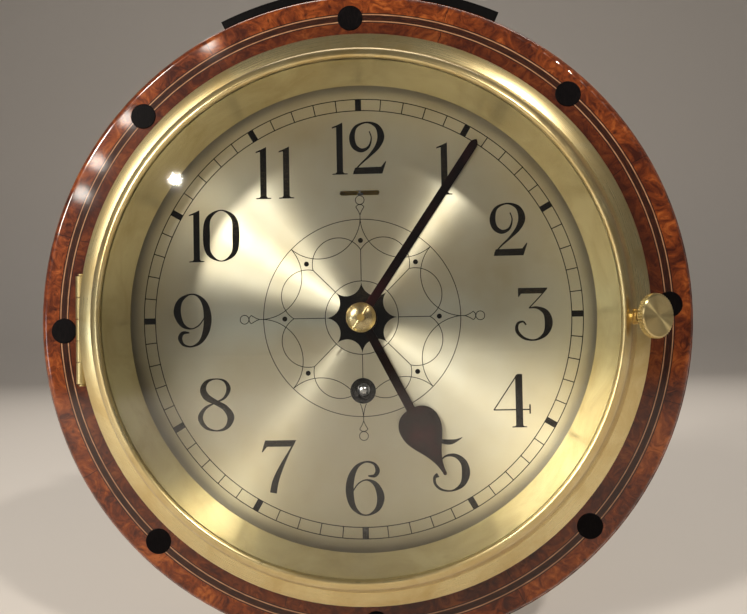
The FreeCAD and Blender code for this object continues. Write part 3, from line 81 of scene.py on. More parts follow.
class Finish:
    """A material being built from nodes. Places are object coordinates in millimetres."""

    def __init__(self, name, centre=(0.0, 0.0, 0.0), axis=CLOCK_AXIS):
        self.material = bpy.data.materials.new(name)
        self.material.use_nodes = True
        self.nodes = self.material.node_tree.nodes
        self.links = self.material.node_tree.links
        self.surface = self.nodes["Principled BSDF"]
        self.axis = axis
        coordinates = self.node("ShaderNodeTexCoord").outputs["Object"]
        self.place = self.vector("SCALE", coordinates, scale=1 / MM)
        offset = self.vector("SUBTRACT", self.place, tuple(value / MM for value in centre))
        self.along = self.vector("DOT_PRODUCT", offset, axis)
        spoke = self.vector("SUBTRACT", offset, self.vector("SCALE", axis, scale=self.along))
        self.radius = self.vector("LENGTH", spoke)
        self.outward = self.vector("NORMALIZE", spoke)

    def node(self, kind, **settings):
        made = self.nodes.new(kind)
        for key, value in settings.items():
            setattr(made, key, value)
        return made

    def feed(self, socket, value):
        if isinstance(value, bpy.types.NodeSocket):
            self.links.new(value, socket)
        else:
            socket.default_value = value

    def math(self, operation, *values, clamp=False):
        made = self.node("ShaderNodeMath", operation=operation, use_clamp=clamp)
        for socket, value in zip(made.inputs, values):
            self.feed(socket, value)
        return made.outputs[0]

    def vector(self, operation, *values, scale=None):
        made = self.node("ShaderNodeVectorMath", operation=operation)
        for socket, value in zip(made.inputs, values):
            self.feed(socket, value)
        if scale is not None:
            self.feed(made.inputs["Scale"], scale)
        scalar = operation in ("DOT_PRODUCT", "LENGTH")
        return made.outputs["Value" if scalar else "Vector"]

    def component(self, vector, name):
        made = self.node("ShaderNodeSeparateXYZ")
        self.feed(made.inputs[0], vector)
        return made.outputs[name]

    def noise(self, vector, scale, detail=2.0, roughness=0.5, distortion=0.0, output="Fac"):
        made = self.node("ShaderNodeTexNoise")
        for name, value in (("Vector", vector), ("Scale", scale), ("Detail", detail),
                            ("Roughness", roughness), ("Distortion", distortion)):
            self.feed(made.inputs[name], value)
        return made.outputs[output]

    def cells(self, vector, scale, output="Distance"):
        made = self.node("ShaderNodeTexVoronoi")
        self.feed(made.inputs["Vector"], vector)
        self.feed(made.inputs["Scale"], scale)
        return made.outputs[output]

    def ramp(self, value, *stops):
        """Colours or greys at rising positions; a stop is (position, colour or grey)."""
        made = self.node("ShaderNodeValToRGB")
        bar = made.color_ramp.elements
        while len(bar) < len(stops):
            bar.new(0.5)
        for element, (position, colour) in zip(bar, stops):
            element.position = position
            element.color = colour if isinstance(colour, tuple) else (colour, colour, colour, 1.0)
        self.feed(made.inputs["Fac"], value)
        return made.outputs["Color"]

    def band(self, value, low, high, soft):
        """1 between low and high, 0 outside, with soft edges."""
        rise = self.node("ShaderNodeMapRange", interpolation_type="SMOOTHSTEP")
        fall = self.node("ShaderNodeMapRange", interpolation_type="SMOOTHSTEP")
        for made, limits in ((rise, (low - soft, low + soft)), (fall, (high + soft, high - soft))):
            self.feed(made.inputs["Value"], value)
            made.inputs["From Min"].default_value = min(limits)
            made.inputs["From Max"].default_value = max(limits)
        fall.inputs["To Min"].default_value = 1.0
        fall.inputs["To Max"].default_value = 0.0
        return self.math("MULTIPLY", rise.outputs[0], fall.outputs[0])

    def mix(self, share, first, second, blend="MIX"):
        made = self.node("ShaderNodeMix", data_type="RGBA", blend_type=blend)
        self.feed(made.inputs["Factor"], share)
        first_colour, second_colour = made.inputs[6], made.inputs[7]
        self.feed(first_colour, first)
        self.feed(second_colour, second)
        return made.outputs[2]

    def about(self, value, middle, spread):
        """A 0 to 1 pattern recentred on middle, give or take half of spread."""
        return self.math("MULTIPLY_ADD", value, spread, middle - spread / 2)

    def turned_place(self, across, around):
        """Coordinates whose noise runs in fine circles about the axis."""
        lane = self.math("MULTIPLY", self.math("ADD", self.radius, self.along), across)
        return self.vector("ADD", self.vector("SCALE", self.outward, scale=around),
                           self.vector("SCALE", self.axis, scale=lane))

    def stretched(self, sizes):
        return self.vector("MULTIPLY", self.place, sizes)

    def bevel(self, radius):
        made = self.node("ShaderNodeBevel", samples=4)
        made.inputs["Radius"].default_value = radius * MM
        return made.outputs["Normal"]

    def bump(self, height, depth, normal=None):
        """Relief of a 0 to 1 height, depth in millimetres."""
        made = self.node("ShaderNodeBump")
        made.inputs["Distance"].default_value = depth * MM
        self.feed(made.inputs["Height"], height)
        if normal is not None:
            self.feed(made.inputs["Normal"], normal)
        return made.outputs["Normal"]

    def brush_around(self, amount):
        """Highlights that fan out from the axis, as on metal turned or brushed in circles."""
        swing = self.node("ShaderNodeVectorTransform", vector_type="VECTOR",
                          convert_from="OBJECT", convert_to="WORLD")
        self.feed(swing.inputs["Vector"], self.outward)
        self.surface.inputs["Anisotropic"].default_value = amount
        self.feed(self.surface.inputs["Tangent"], swing.outputs["Vector"])

    def done(self, colour, roughness, normal=None, **settings):
        self.feed(self.surface.inputs["Base Color"], colour)
        self.feed(self.surface.inputs["Roughness"], roughness)
        if normal is not None:
            self.feed(self.surface.inputs["Normal"], normal)
        for name, value in settings.items():
            self.surface.inputs[name.replace("_", " ")].default_value = value
        return self.material


# ---- wood ---------------------------------------------------------------------------------------

STRING_EDGES = (140.5, 144.5)
BANDING_WIDTH = 2.4
GLUE_LINES = ((-0.35, 0.1), (-0.1, 0.4))   # where each starts and ends, from the string's two edges
VENEER_SECTIONS = 8
SEAM_TURN, SEAM_WIDTH = 0.13, 0.003     # shares of a section


def burr_veneer():
    """Amboyna burr under French polish: clouded, curled, with small dark eyes; painted shade darkens it
    inside the lines.
    """
    f = Finish("amboyna_burr")
    drift = f.noise(f.place, 0.05, detail=2.0, output="Color")
    place = f.vector("ADD", f.place, f.vector("SCALE", drift, scale=16.0))
    cloud = f.noise(place, 0.045, detail=4.0, roughness=0.6)
    curl = f.noise(place, 0.15, detail=6.0, roughness=0.6, distortion=1.8)
    figure = f.math("ADD", f.math("MULTIPLY", curl, 0.5), f.math("MULTIPLY", cloud, 0.5))
    colour = f.ramp(figure, (0.38, srgb(54, 18, 5)), (0.46, srgb(86, 35, 10)), (0.54, srgb(118, 54, 17)),
                    (0.63, srgb(154, 82, 33)))
    eyes = f.cells(place, 0.21)
    chosen = f.ramp(f.component(f.cells(place, 0.21, "Color"), "X"), (0.5, 0.0), (0.58, 1.0))
    spots = f.math("MULTIPLY", f.ramp(eyes, (0.07, 1.0), (0.25, 0.0)), chosen)
    colour = f.mix(f.math("MULTIPLY", spots, 0.75), colour, srgb(34, 8, 3))
    flecks = f.ramp(f.noise(f.place, 0.9, detail=5.0, roughness=0.7), (0.34, 1.0), (0.43, 0.0))
    colour = f.mix(f.math("MULTIPLY", flecks, 0.45), colour, srgb(44, 12, 5))
    # painted shade: inside the lines, next to the bezel, the wood is darkened halfway to a deep red-brown
    shade_inside_lines = f.math("SUBTRACT", 1.0, f.band(f.radius, STRING_EDGES[0], FAR, 0.3))
    colour = f.mix(shade_inside_lines, colour, f.mix(0.5, colour, srgb(50, 17, 6)))
    glue = f.math("ADD", *(f.band(f.radius, edge + start, edge + end, 0.08)
                           for edge, (start, end) in zip(STRING_EDGES, GLUE_LINES)))
    turn = f.math("ARCTAN2", f.component(f.place, "X"), f.component(f.place, "Z"))
    wander = f.math("MULTIPLY", f.noise(f.place, 0.25), 0.012)
    sections = f.math("MULTIPLY_ADD", f.math("ADD", turn, wander), VENEER_SECTIONS / (2 * math.pi), SEAM_TURN)
    section = f.math("FRACT", sections)
    seam = f.band(section, 0.5 - SEAM_WIDTH / 2, 0.5 + SEAM_WIDTH / 2, 0.0008)
    dark_lines = f.math("MULTIPLY", f.math("MAXIMUM", glue, seam), 0.8, clamp=True)
    colour = f.mix(dark_lines, colour, srgb(22, 6, 3))
    depth = f.math("SUBTRACT", curl, f.math("MULTIPLY", seam, 0.5))
    return f.done(colour, f.about(curl, 0.34, 0.2), f.bump(depth, 0.02), Coat_Weight=1.0,
                  Coat_Roughness=0.06, Coat_IOR=1.45, Specular_IOR_Level=0.1)


LINE_HALF = 0.26


def box_stringing():
    """A light boxwood line between two dark ones."""
    f = Finish("boxwood_line")
    streaks = f.noise(f.turned_place(5.0, 26.0), 1.0, detail=3.0)
    light = f.ramp(streaks, (0.3, srgb(120, 78, 52)), (0.6, srgb(176, 132, 98)), (0.8, srgb(206, 164, 130)))
    half_width = (STRING_EDGES[1] - STRING_EDGES[0] - BANDING_WIDTH) / 4
    first, last = STRING_EDGES[0] + half_width, STRING_EDGES[1] - half_width
    lines = f.math("ADD", f.band(f.radius, first - LINE_HALF, first + LINE_HALF, 0.05),
                   f.band(f.radius, last - LINE_HALF, last + LINE_HALF, 0.05))
    colour = f.mix(lines, srgb(26, 9, 6), light)
    return f.done(colour, f.about(streaks, 0.4, 0.2), f.bump(streaks, 0.01), Coat_Weight=1.0,
                  Coat_Roughness=0.06, Coat_IOR=1.45, Specular_IOR_Level=0.1)


def dark_banding():
    f = Finish("rosewood_band")
    streaks = f.noise(f.turned_place(2.2, 34.0), 1.0, detail=4.0, roughness=0.6)
    colour = f.ramp(streaks, (0.32, srgb(24, 9, 3)), (0.55, srgb(50, 21, 7)), (0.75, srgb(78, 36, 14)))
    return f.done(colour, f.about(streaks, 0.36, 0.2), f.bump(streaks, 0.015), Coat_Weight=1.0,
                  Coat_Roughness=0.06, Coat_IOR=1.45, Specular_IOR_Level=0.1)


def ebony():
    f = Finish("ebony")
    grain = f.noise(f.stretched((2.4, 0.3, 0.35)), 1.0, detail=6.0, roughness=0.65)
    colour = f.ramp(grain, (0.35, srgb(6, 5, 6)), (0.6, srgb(14, 11, 12)), (0.8, srgb(34, 25, 22)))
    relief = f.bump(grain, 0.02, f.bevel(0.25))
    return f.done(colour, f.about(grain, 0.4, 0.2), relief, Specular_IOR_Level=0.04)


# ---- brass and steel ----------------------------------------------------------------------------

def turned_brass(name, bright, toned, roughness, brush=0.55, spotting=0.25, centre=(0.0, 0.0, 0.0),
                 axis=CLOCK_AXIS, edge=0.25, across=3.2, depth=0.004):
    """Lacquered brass turned on a lathe: circular lines, clouded toning and a few age spots."""
    f = Finish(name, centre, axis)
    lines = f.noise(f.turned_place(across, 5.0), 1.0, detail=4.0, roughness=0.7)
    clouds = f.noise(f.place, 0.035, detail=5.0, roughness=0.62, distortion=0.8)
    colour = f.mix(f.ramp(clouds, (0.38, 0.0), (0.72, 1.0)), bright, toned)
    spots = f.ramp(f.noise(f.place, 0.55, detail=6.0, roughness=0.75), (0.60, 0.0), (0.74, 1.0))
    colour = f.mix(f.math("MULTIPLY", spots, spotting), colour, srgb(84, 58, 28))
    rough = f.math("ADD", f.about(lines, roughness, 0.16), f.math("MULTIPLY", clouds, 0.08))
    relief = f.bump(lines, depth, f.bevel(edge))
    f.brush_around(brush)
    return f.done(colour, rough, relief, Metallic=1.0)


def case_brass():
    return turned_brass("lacquered_brass", srgb(206, 186, 132), srgb(186, 162, 108), 0.3, spotting=0.4)


def bezel_brass():
    return turned_brass("bezel_brass", srgb(232, 214, 162), srgb(208, 182, 124), 0.25, brush=0.6, edge=0.3)


def sight_brass():
    return turned_brass("sight_ring_brass", srgb(236, 224, 180), srgb(212, 194, 142), 0.33, brush=0.6,
                        edge=0.2)


def knob_brass():
    latch = JOINTS["latch_turn"]
    return turned_brass("knob_brass", srgb(232, 214, 160), srgb(208, 182, 124), 0.27, brush=0.92,
                        spotting=0.2, centre=latch["pos_m"], axis=tuple(latch["axis"]), edge=0.15,
                        depth=0.025)


def movement_brass():
    """Plates and wheels with a straight grain."""
    f = Finish("movement_brass")
    grain = f.noise(f.stretched((0.12, 5.0, 5.0)), 1.0, detail=3.0, roughness=0.6)
    clouds = f.noise(f.place, 0.05, detail=4.0)
    colour = f.mix(clouds, srgb(226, 196, 120), srgb(196, 160, 86))
    return f.done(colour, f.about(grain, 0.34, 0.16), f.bump(grain, 0.004, f.bevel(0.12)), Metallic=1.0)


def collet_brass():
    return turned_brass("collet_brass", srgb(212, 194, 150), srgb(180, 154, 108), 0.24, brush=0.5, edge=0.12)


def steel():
    f = Finish("bright_steel")
    grain = f.noise(f.stretched((0.4, 6.0, 6.0)), 1.0, detail=3.0, roughness=0.6)
    stain = f.noise(f.place, 0.4, detail=5.0, roughness=0.7)
    colour = f.mix(f.ramp(stain, (0.5, 0.0), (0.8, 1.0)), srgb(196, 196, 198), srgb(142, 134, 126))
    return f.done(colour, f.about(grain, 0.28, 0.16), f.bump(grain, 0.004, f.bevel(0.12)), Metallic=1.0)


def blued_steel():
    f = Finish("blued_steel")
    heat = f.noise(f.place, 0.3, detail=3.0)
    colour = f.ramp(heat, (0.35, srgb(34, 36, 92)), (0.55, srgb(42, 58, 124)), (0.75, srgb(74, 50, 110)))
    return f.done(colour, f.about(heat, 0.26, 0.1), f.bump(heat, 0.003, f.bevel(0.12)), Metallic=1.0)


def hand_steel():
    """Hands blued to plum, grained along the disc and bright where an edge turns."""
    f = Finish("plum_steel")
    heat = f.noise(f.place, 0.06, detail=3.0)
    grain = f.noise(f.stretched((2.0, 2.0, 2.0)), 1.0, detail=6.0, roughness=0.7)
    colour = f.ramp(heat, (0.35, srgb(22, 10, 7)), (0.55, srgb(38, 17, 13)), (0.72, srgb(66, 28, 30)))
    return f.done(colour, f.about(grain, 0.3, 0.16), f.bump(grain, 0.004, f.bevel(0.35)), Metallic=1.0)


def black_plate():
    f = Finish("black_lacquer")
    peel = f.noise(f.place, 0.9, detail=3.0)
    rubbed = f.noise(f.stretched((0.2, 2.0, 2.0)), 1.0, detail=7.0, roughness=0.75)
    scuffs = f.ramp(rubbed, (0.62, 0.0), (0.7, 1.0))
    colour = f.mix(f.math("MULTIPLY", scuffs, 0.5), srgb(9, 8, 8), srgb(42, 38, 34))
    relief = f.bump(peel, 0.03, f.bevel(0.3))
    return f.done(colour, f.about(peel, 0.36, 0.18), relief, Specular_IOR_Level=0.06)


# partly painted shade: a blackened brass collet, whose near-black also stands in for the shade down the
# winding hole
def black_eyelet():
    f = Finish("blackened_brass_hole_shade")
    wear = f.ramp(f.noise(f.place, 1.4, detail=5.0, roughness=0.7), (0.6, 0.0), (0.72, 1.0))
    colour = f.mix(f.math("MULTIPLY", wear, 0.35), srgb(9, 8, 8), srgb(96, 76, 44))
    relief = f.bump(wear, 0.005, f.bevel(0.15))
    return f.done(colour, f.about(wear, 0.32, 0.1), relief, Specular_IOR_Level=0.12)


# ---- dial and glass -----------------------------------------------------------------------------

# radius where the painted shade of the sight ring on the dial begins
RING_SHADE_RADIUS = 101.5


def silvered_dial():
    """Silvered brass grained in circles, so that light fans out from the centre."""
    f = Finish("silvered_dial")
    lines = f.noise(f.turned_place(2.6, 3.0), 1.0, detail=5.0, roughness=0.75)
    streaks = f.noise(f.turned_place(0.02, 7.0), 1.0, detail=4.0, roughness=0.7)
    clouds = f.noise(f.place, 0.022, detail=4.0, roughness=0.55)
    colour = f.ramp(clouds, (0.3, srgb(226, 221, 202)), (0.55, srgb(218, 209, 184)),
                    (0.75, srgb(204, 190, 156)))
    # painted shade: outside the minute track the dial is darkened where the sight ring shades it
    rim = f.band(f.radius, RING_SHADE_RADIUS, FAR, 2.5)
    colour = f.mix(f.math("MULTIPLY", rim, 0.4), colour, srgb(172, 158, 124))
    tarnish = f.ramp(f.noise(f.place, 0.7, detail=6.0, roughness=0.75), (0.63, 0.0), (0.75, 1.0))
    colour = f.mix(f.math("MULTIPLY", tarnish, 0.25), colour, srgb(140, 122, 88))
    rough = f.math("ADD", f.about(lines, 0.31, 0.1), f.math("MULTIPLY", streaks, 0.05))
    f.brush_around(0.95)
    return f.done(colour, rough, f.bump(lines, 0.002), Metallic=1.0)


def wax():
    """Black engraving wax, with the silvering showing where it has worn."""
    f = Finish("engraving_wax")
    hatch = f.noise(f.stretched((0.6, 1.0, 4.5)), 1.0, detail=2.0)
    worn = f.noise(f.place, 2.2, detail=5.0, roughness=0.7)
    areas = f.noise(f.place, 0.035, detail=2.0)
    amount = f.math("ADD", f.math("MULTIPLY", worn, 0.7), f.math("MULTIPLY", hatch, 0.3))
    bare = f.math("MULTIPLY", f.ramp(amount, (0.52, 0.0), (0.6, 1.0)),
                  f.ramp(areas, (0.42, 0.0), (0.66, 0.5)))
    colour = f.mix(bare, srgb(9, 7, 6), srgb(110, 96, 70))
    return f.done(colour, f.about(worn, 0.42, 0.2), f.bump(worn, 0.01), Specular_IOR_Level=0.05)


def clear_glass():
    """Flat glass: light passes straight through, and each face reflects by Schlick's law."""
    f = Finish("clear_glass")
    facing = f.node("ShaderNodeLayerWeight").outputs["Facing"]
    share = f.math("MULTIPLY_ADD", f.math("POWER", facing, 5.0), 0.96, 0.04)
    smear = f.noise(f.place, 0.05, detail=4.0, roughness=0.6)
    clear = f.node("ShaderNodeBsdfTransparent")
    clear.inputs["Color"].default_value = (0.975, 0.985, 0.98, 1.0)
    gloss = f.node("ShaderNodeBsdfGlossy")
    f.feed(gloss.inputs["Roughness"], f.about(smear, 0.03, 0.05))
    blend = f.node("ShaderNodeMixShader")
    f.feed(blend.inputs["Fac"], share)
    f.links.new(clear.outputs[0], blend.inputs[1])
    f.links.new(gloss.outputs[0], blend.inputs[2])
    f.links.new(blend.outputs[0], f.nodes["Material Output"].inputs["Surface"])
    f.nodes.remove(f.surface)
    return f.material


FINISHES = {
    "burr_veneer": burr_veneer, "box_stringing": box_stringing, "dark_banding": dark_banding,
    "ebony": ebony, "black_plate": black_plate, "steel": steel, "blued_steel": blued_steel,
    "case_brass": case_brass, "bezel_brass": bezel_brass, "sight_brass": sight_brass,
    "knob_brass": knob_brass, "movement_brass": movement_brass, "collet_brass": collet_brass,
    "silvered_dial": silvered_dial, "black_eyelet": black_eyelet, "hand_steel": hand_steel,
    "clear_glass": clear_glass,
}


def dress_nodes():
    """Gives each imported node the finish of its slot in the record."""
    made = {slot: build() for slot, build in FINISHES.items()}
    for part in frame["record"]["subparts"]:
        for slot in frame["nodes"][part["node"]].material_slots:
            slot.material = made[part["material_slot"]]


# ---- the dial's engraving -----------------------------------------------------------------------

TRACK = (94.8, 100.0)
TRACK_LINE, MINUTE_LINE, HOUR_BLOCK = 0.42, 0.45, 2.8
FINE_LINE = 0.34
NUMERAL_R = 77.6
DIGIT_HEIGHT = 24.0
WAX_PROUD = 0.02


def on_circle(radius, degrees):
    """x and z at an angle clockwise from twelve."""
    turn = math.radians(degrees)
    return radius * math.sin(turn), radius * math.cos(turn)


def smooth(points, closed=False, steps=9):
    """A Catmull-Rom curve through points of any dimension."""
    count = len(points)
    pick = (lambda i: points[i % count]) if closed else (lambda i: points[min(max(i, 0), count - 1)])
    curve = []
    for i in range(count if closed else count - 1):
        a, b, c, d = pick(i - 1), pick(i), pick(i + 1), pick(i + 2)
        for step in range(steps):
            t = step / steps
            curve.append(tuple(
                0.5 * (2 * q + (r - p) * t + (2 * p - 5 * q + 4 * r - s) * t ** 2
                       + (3 * q - p - 3 * r + s) * t ** 3)
                for p, q, r, s in zip(a, b, c, d)))
    return curve if closed else curve + [points[-1]]


def arc_through(first, middle, last, steps):
    """Points on the circle through three points."""
    (ax, az), (bx, bz), (cx, cz) = first, middle, last
    d = 2 * (ax * (bz - cz) + bx * (cz - az) + cx * (az - bz))
    a2, b2, c2 = ax * ax + az * az, bx * bx + bz * bz, cx * cx + cz * cz
    ux = (a2 * (bz - cz) + b2 * (cz - az) + c2 * (az - bz)) / d
    uz = (a2 * (cx - bx) + b2 * (ax - cx) + c2 * (bx - ax)) / d
    radius = math.hypot(ax - ux, az - uz)
    angles = [math.atan2(x - ux, z - uz) for x, z in (first, middle, last)]
    span = (angles[2] - angles[0]) % (2 * math.pi)
    if (angles[1] - angles[0]) % (2 * math.pi) > span:
        span -= 2 * math.pi
    return [(ux + radius * math.sin(angles[0] + span * i / steps),
             uz + radius * math.cos(angles[0] + span * i / steps)) for i in range(steps + 1)]


class Engraving:
    """Wax-filled cuts gathered in one mesh, half sunk in the dial's face.

    Faces are lists of corners, anticlockwise as seen from in front of the dial.
    """

    def __init__(self, name):
        self.name = name
        self.corners = []
        self.faces = []

    def corner(self, x, z):
        self.corners.append((x, z))
        return len(self.corners) - 1

    def area(self, points, at=(0.0, 0.0)):
        self.faces.append([self.corner(x + at[0], z + at[1]) for x, z in points])

    def strip(self, left, right, closed=False):
        """Faces between two equally long runs of points; none is cut over the winding hole."""
        runs = [[self.corner(x, z) for x, z in run] for run in (left, right)]
        count = len(left)
        for i in range(count if closed else count - 1):
            j = (i + 1) % count
            face = [runs[0][i], runs[1][i], runs[1][j], runs[0][j]]
            x, z = (sum(self.corners[corner][side] for corner in face) / 4 for side in (0, 1))
            if math.hypot(x, z - WINDING_Z) > EYELET_R:
                self.faces.append(face)

    def stroke(self, points, at=(0.0, 0.0), closed=False):
        """A line through (x, z, half width) points."""
        count = len(points)
        left, right = [], []
        for i, (x, z, half) in enumerate(points):
            before = points[(i - 1) % count] if closed else points[max(i - 1, 0)]
            after = points[(i + 1) % count] if closed else points[min(i + 1, count - 1)]
            dx, dz = after[0] - before[0], after[1] - before[1]
            size = math.hypot(dx, dz)
            nx, nz = -dz / size * half, dx / size * half
            left.append((x + nx + at[0], z + nz + at[1]))
            right.append((x - nx + at[0], z - nz + at[1]))
        self.strip(left, right, closed)

    def line(self, points, width=FINE_LINE, closed=False):
        self.stroke([(x, z, width / 2) for x, z in points], closed=closed)

    def circle(self, radius, x=0.0, z=0.0, width=FINE_LINE, steps=None):
        steps = steps or max(24, int(radius * 3))
        spots = [on_circle(radius, 360 * i / steps) for i in range(steps)]
        self.line([(x + dx, z + dz) for dx, dz in spots], width, closed=True)

    def spot(self, radius, x, z, steps=20):
        self.area([on_circle(radius, -360 * i / steps) for i in range(steps)], (x, z))

    def finish(self, material):
        """Closes the cuts into thin solids and makes the object."""
        used = sorted({corner for face in self.faces for corner in face})
        number = {corner: i for i, corner in enumerate(used)}
        front = [[number[corner] for corner in face] for face in self.faces]
        edges = [edge for face in front for edge in zip(face, face[1:] + face[:1])]
        uses = Counter(frozenset(edge) for edge in edges)
        deep = len(used)
        back = [[corner + deep for corner in reversed(face)] for face in front]
        sides = [[b, a, a + deep, b + deep] for a, b in edges if uses[frozenset((a, b))] == 1]
        places = [(self.corners[corner][0] * MM, DIAL_FRONT + rise * MM, self.corners[corner][1] * MM)
                  for rise in (-WAX_PROUD, WAX_PROUD) for corner in used]
        data = bpy.data.meshes.new(self.name)
        data.from_pydata(places, [], front + back + sides)
        piece = bpy.data.objects.new(self.name, data)
        bpy.context.scene.collection.objects.link(piece)
        data.materials.append(material)
        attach(piece, "case")
        return piece


def engrave_track(material):
    """The minute track: two circles, sixty fine strokes and a block at each hour."""
    cut = Engraving("minute_track")
    for radius in TRACK:
        cut.circle(radius, width=TRACK_LINE)
    for minute in range(60):
        width = HOUR_BLOCK if minute % 5 == 0 else MINUTE_LINE
        cut.line([on_circle(radius, 6 * minute) for radius in TRACK], width)
    cut.finish(material)


# Numerals, drawn in a box about 17 wide and 24 high, its corner at the lower left. A stroke is a
# smooth line through (x, z, half width) points; a shape is a filled outline.
HAIR = 0.26

NINE_FROM_SIX = (17.2, 24.4)

STROKES = {
    "0": [[(8.4, 0.3, HAIR), (2.6, 4.0, 1.15), (1.6, 12.0, 1.65), (2.6, 20.0, 1.15), (8.4, 23.7, HAIR),
           (14.2, 20.0, 1.15), (15.2, 12.0, 1.65), (14.2, 4.0, 1.15)]],
    "2": [[(9.2, 19.6, HAIR), (10.1, 16.4, 0.3), (8.8, 12.4, 0.55), (5.4, 10.9, 0.95), (2.2, 13.0, 1.25),
           (1.3, 17.4, 1.3), (3.2, 21.9, 0.7), (8.2, 23.7, 0.4), (12.8, 21.8, 1.05), (14.5, 17.2, 1.6),
           (12.9, 12.6, 1.2), (9.0, 8.2, 0.6), (4.8, 4.4, 0.35), (1.9, 1.2, 0.3)]],
    "3": [[(14.9, 23.6, HAIR), (11.0, 19.3, HAIR), (6.7, 14.9, HAIR)],
          [(6.7, 14.9, HAIR), (10.4, 15.0, 0.6), (14.2, 12.7, 1.35), (15.4, 8.0, 1.8), (13.8, 3.2, 1.1),
           (9.4, 0.5, 0.4), (4.4, 1.2, 0.6), (1.2, 4.4, 0.8), (1.4, 7.8, 0.6), (3.8, 8.8, 0.45),
           (5.2, 7.3, 0.35)]],
    "4": [[(10.9, 23.3, HAIR), (5.8, 15.8, HAIR), (0.5, 8.0, HAIR)], [(0.4, 8.0, 0.3), (16.9, 8.0, 0.3)],
          [(16.7, 6.1, 0.35), (16.7, 10.3, 0.35)]],
    "5": [[(3.1, 23.9, HAIR), (3.1, 18.5, HAIR), (3.1, 13.1, HAIR)],
          [(3.2, 13.2, HAIR), (6.4, 16.0, 0.45), (10.8, 16.1, 0.9), (14.4, 13.0, 1.5), (15.3, 8.0, 1.85),
           (13.6, 3.2, 1.15), (9.2, 0.5, 0.4), (4.4, 0.9, 0.5), (1.5, 3.4, 0.6), (1.2, 6.4, 0.7),
           (2.8, 7.6, 1.1)],
          [(2.9, 23.7, 0.3), (5.2, 22.6, 1.0), (8.6, 22.3, 1.15), (11.4, 23.0, 0.6), (14.0, 24.3, 0.15)]],
    "6": [[(10.2, 17.9, 0.3), (13.2, 18.0, 0.8), (14.5, 20.4, 1.0), (12.9, 23.4, 0.6), (9.0, 24.2, 0.4),
           (5.0, 22.0, 0.9), (2.4, 17.0, 1.6), (1.7, 10.6, 1.8), (3.0, 4.6, 1.3), (6.4, 0.9, 0.5),
           (10.4, 0.5, 0.4), (14.4, 3.4, 1.2), (15.7, 8.6, 1.7), (13.6, 14.0, 1.1), (9.6, 16.1, 0.35),
           (5.8, 14.6, 0.3), (3.1, 11.0, HAIR)]],
    "7": [[(15.3, 23.4, 0.3), (12.4, 18.4, 0.5), (9.0, 12.0, 1.0), (6.3, 5.6, 1.45), (5.2, 0.3, 1.55)]],
    "8": [[(8.6, 24.0, HAIR), (4.4, 22.8, 0.8), (2.6, 19.3, 1.4), (4.2, 15.8, 1.55), (8.4, 13.3, 1.2),
           (12.8, 10.6, 1.35), (15.2, 6.4, 1.6), (13.2, 1.9, 0.9), (8.7, 0.4, 0.35), (3.8, 1.9, 0.75),
           (1.2, 6.2, 1.15), (3.4, 10.6, 0.7), (8.2, 13.2, 0.35), (12.4, 15.4, 0.6), (14.3, 19.4, 1.0),
           (12.6, 22.9, 0.6)]],
}
CLOSED = {"0", "8"}

SHAPES = {
    "1": [[(-1.45, 0.3), (1.45, 0.3), (1.45, 24.0), (-0.6, 23.0), (-3.4, 21.9), (-3.4, 21.3), (-1.45, 21.8)],
          [(-3.5, 0.0), (3.5, 0.0), (3.5, 0.45), (2.0, 0.6), (1.45, 1.2), (-1.45, 1.2), (-2.0, 0.6),
           (-3.5, 0.45)]],
    "2": [[(1.4, 0.0), (14.9, 0.0), (16.8, 5.6), (16.3, 5.6), (14.4, 3.2), (2.4, 3.0)]],
    "3": [[(1.9, 20.0), (2.3, 20.0), (3.2, 21.4), (13.0, 21.4), (15.3, 24.0), (1.9, 24.0)]],
    "4": [[(10.3, 0.3), (13.5, 0.3), (13.5, 24.0), (11.2, 24.0), (10.3, 23.2)],
          [(8.6, 0.0), (15.2, 0.0), (15.2, 0.45), (13.8, 0.6), (13.5, 1.2), (10.3, 1.2), (10.0, 0.6),
           (8.6, 0.45)]],
    "7": [[(0.1, 18.8), (0.6, 18.8), (2.6, 21.2), (13.6, 21.2), (16.1, 24.1), (1.7, 24.1)]],
}
# the middle of each digit that stands alone; in a number, each digit's left edge and width, and the
# space between the two
DIGIT_MIDDLE = {"1": 0.0, "2": 8.3, "3": 8.6, "4": 8.8, "5": 8.4, "6": 8.6, "7": 8.0, "8": 8.6, "9": 8.6}
DIGIT_BOX = {"0": (-0.1, 16.9), "1": (-3.5, 7.0), "2": (0.0, 16.6)}
PAIR_SPACE = {10: -0.6, 11: 3.6, 12: 1.0}


def draw_digit(cut, digit, x, z):
    for points in STROKES.get(digit, []):
        closed = digit in CLOSED
        cut.stroke(smooth(points, closed), (x, z), closed)
    for points in SHAPES.get(digit, []):
        cut.area(points, (x, z))


def draw_nine(cut, x, z):
    """Nine is six turned upside down."""
    wide, high = NINE_FROM_SIX
    for points in STROKES["6"]:
        cut.stroke(smooth([(wide - px, high - pz, half) for px, pz, half in points]), (x, z))


def engrave_numerals(material):
    """The hours, upright, each with its middle on one circle."""
    cut = Engraving("numerals")
    for hour in range(1, 13):
        x, z = on_circle(NUMERAL_R, 30 * hour)
        z -= DIGIT_HEIGHT / 2
        text = str(hour)
        if hour == 9:
            draw_nine(cut, x - DIGIT_MIDDLE[text], z)
        elif hour < 10:
            draw_digit(cut, text, x - DIGIT_MIDDLE[text], z)
        else:
            space = PAIR_SPACE[hour]
            total = sum(DIGIT_BOX[digit][1] for digit in text) + space
            pen = x - total / 2
            for digit in text:
                left, width = DIGIT_BOX[digit]
                draw_digit(cut, digit, pen - left, z)
                pen += width + space
    cut.finish(material)


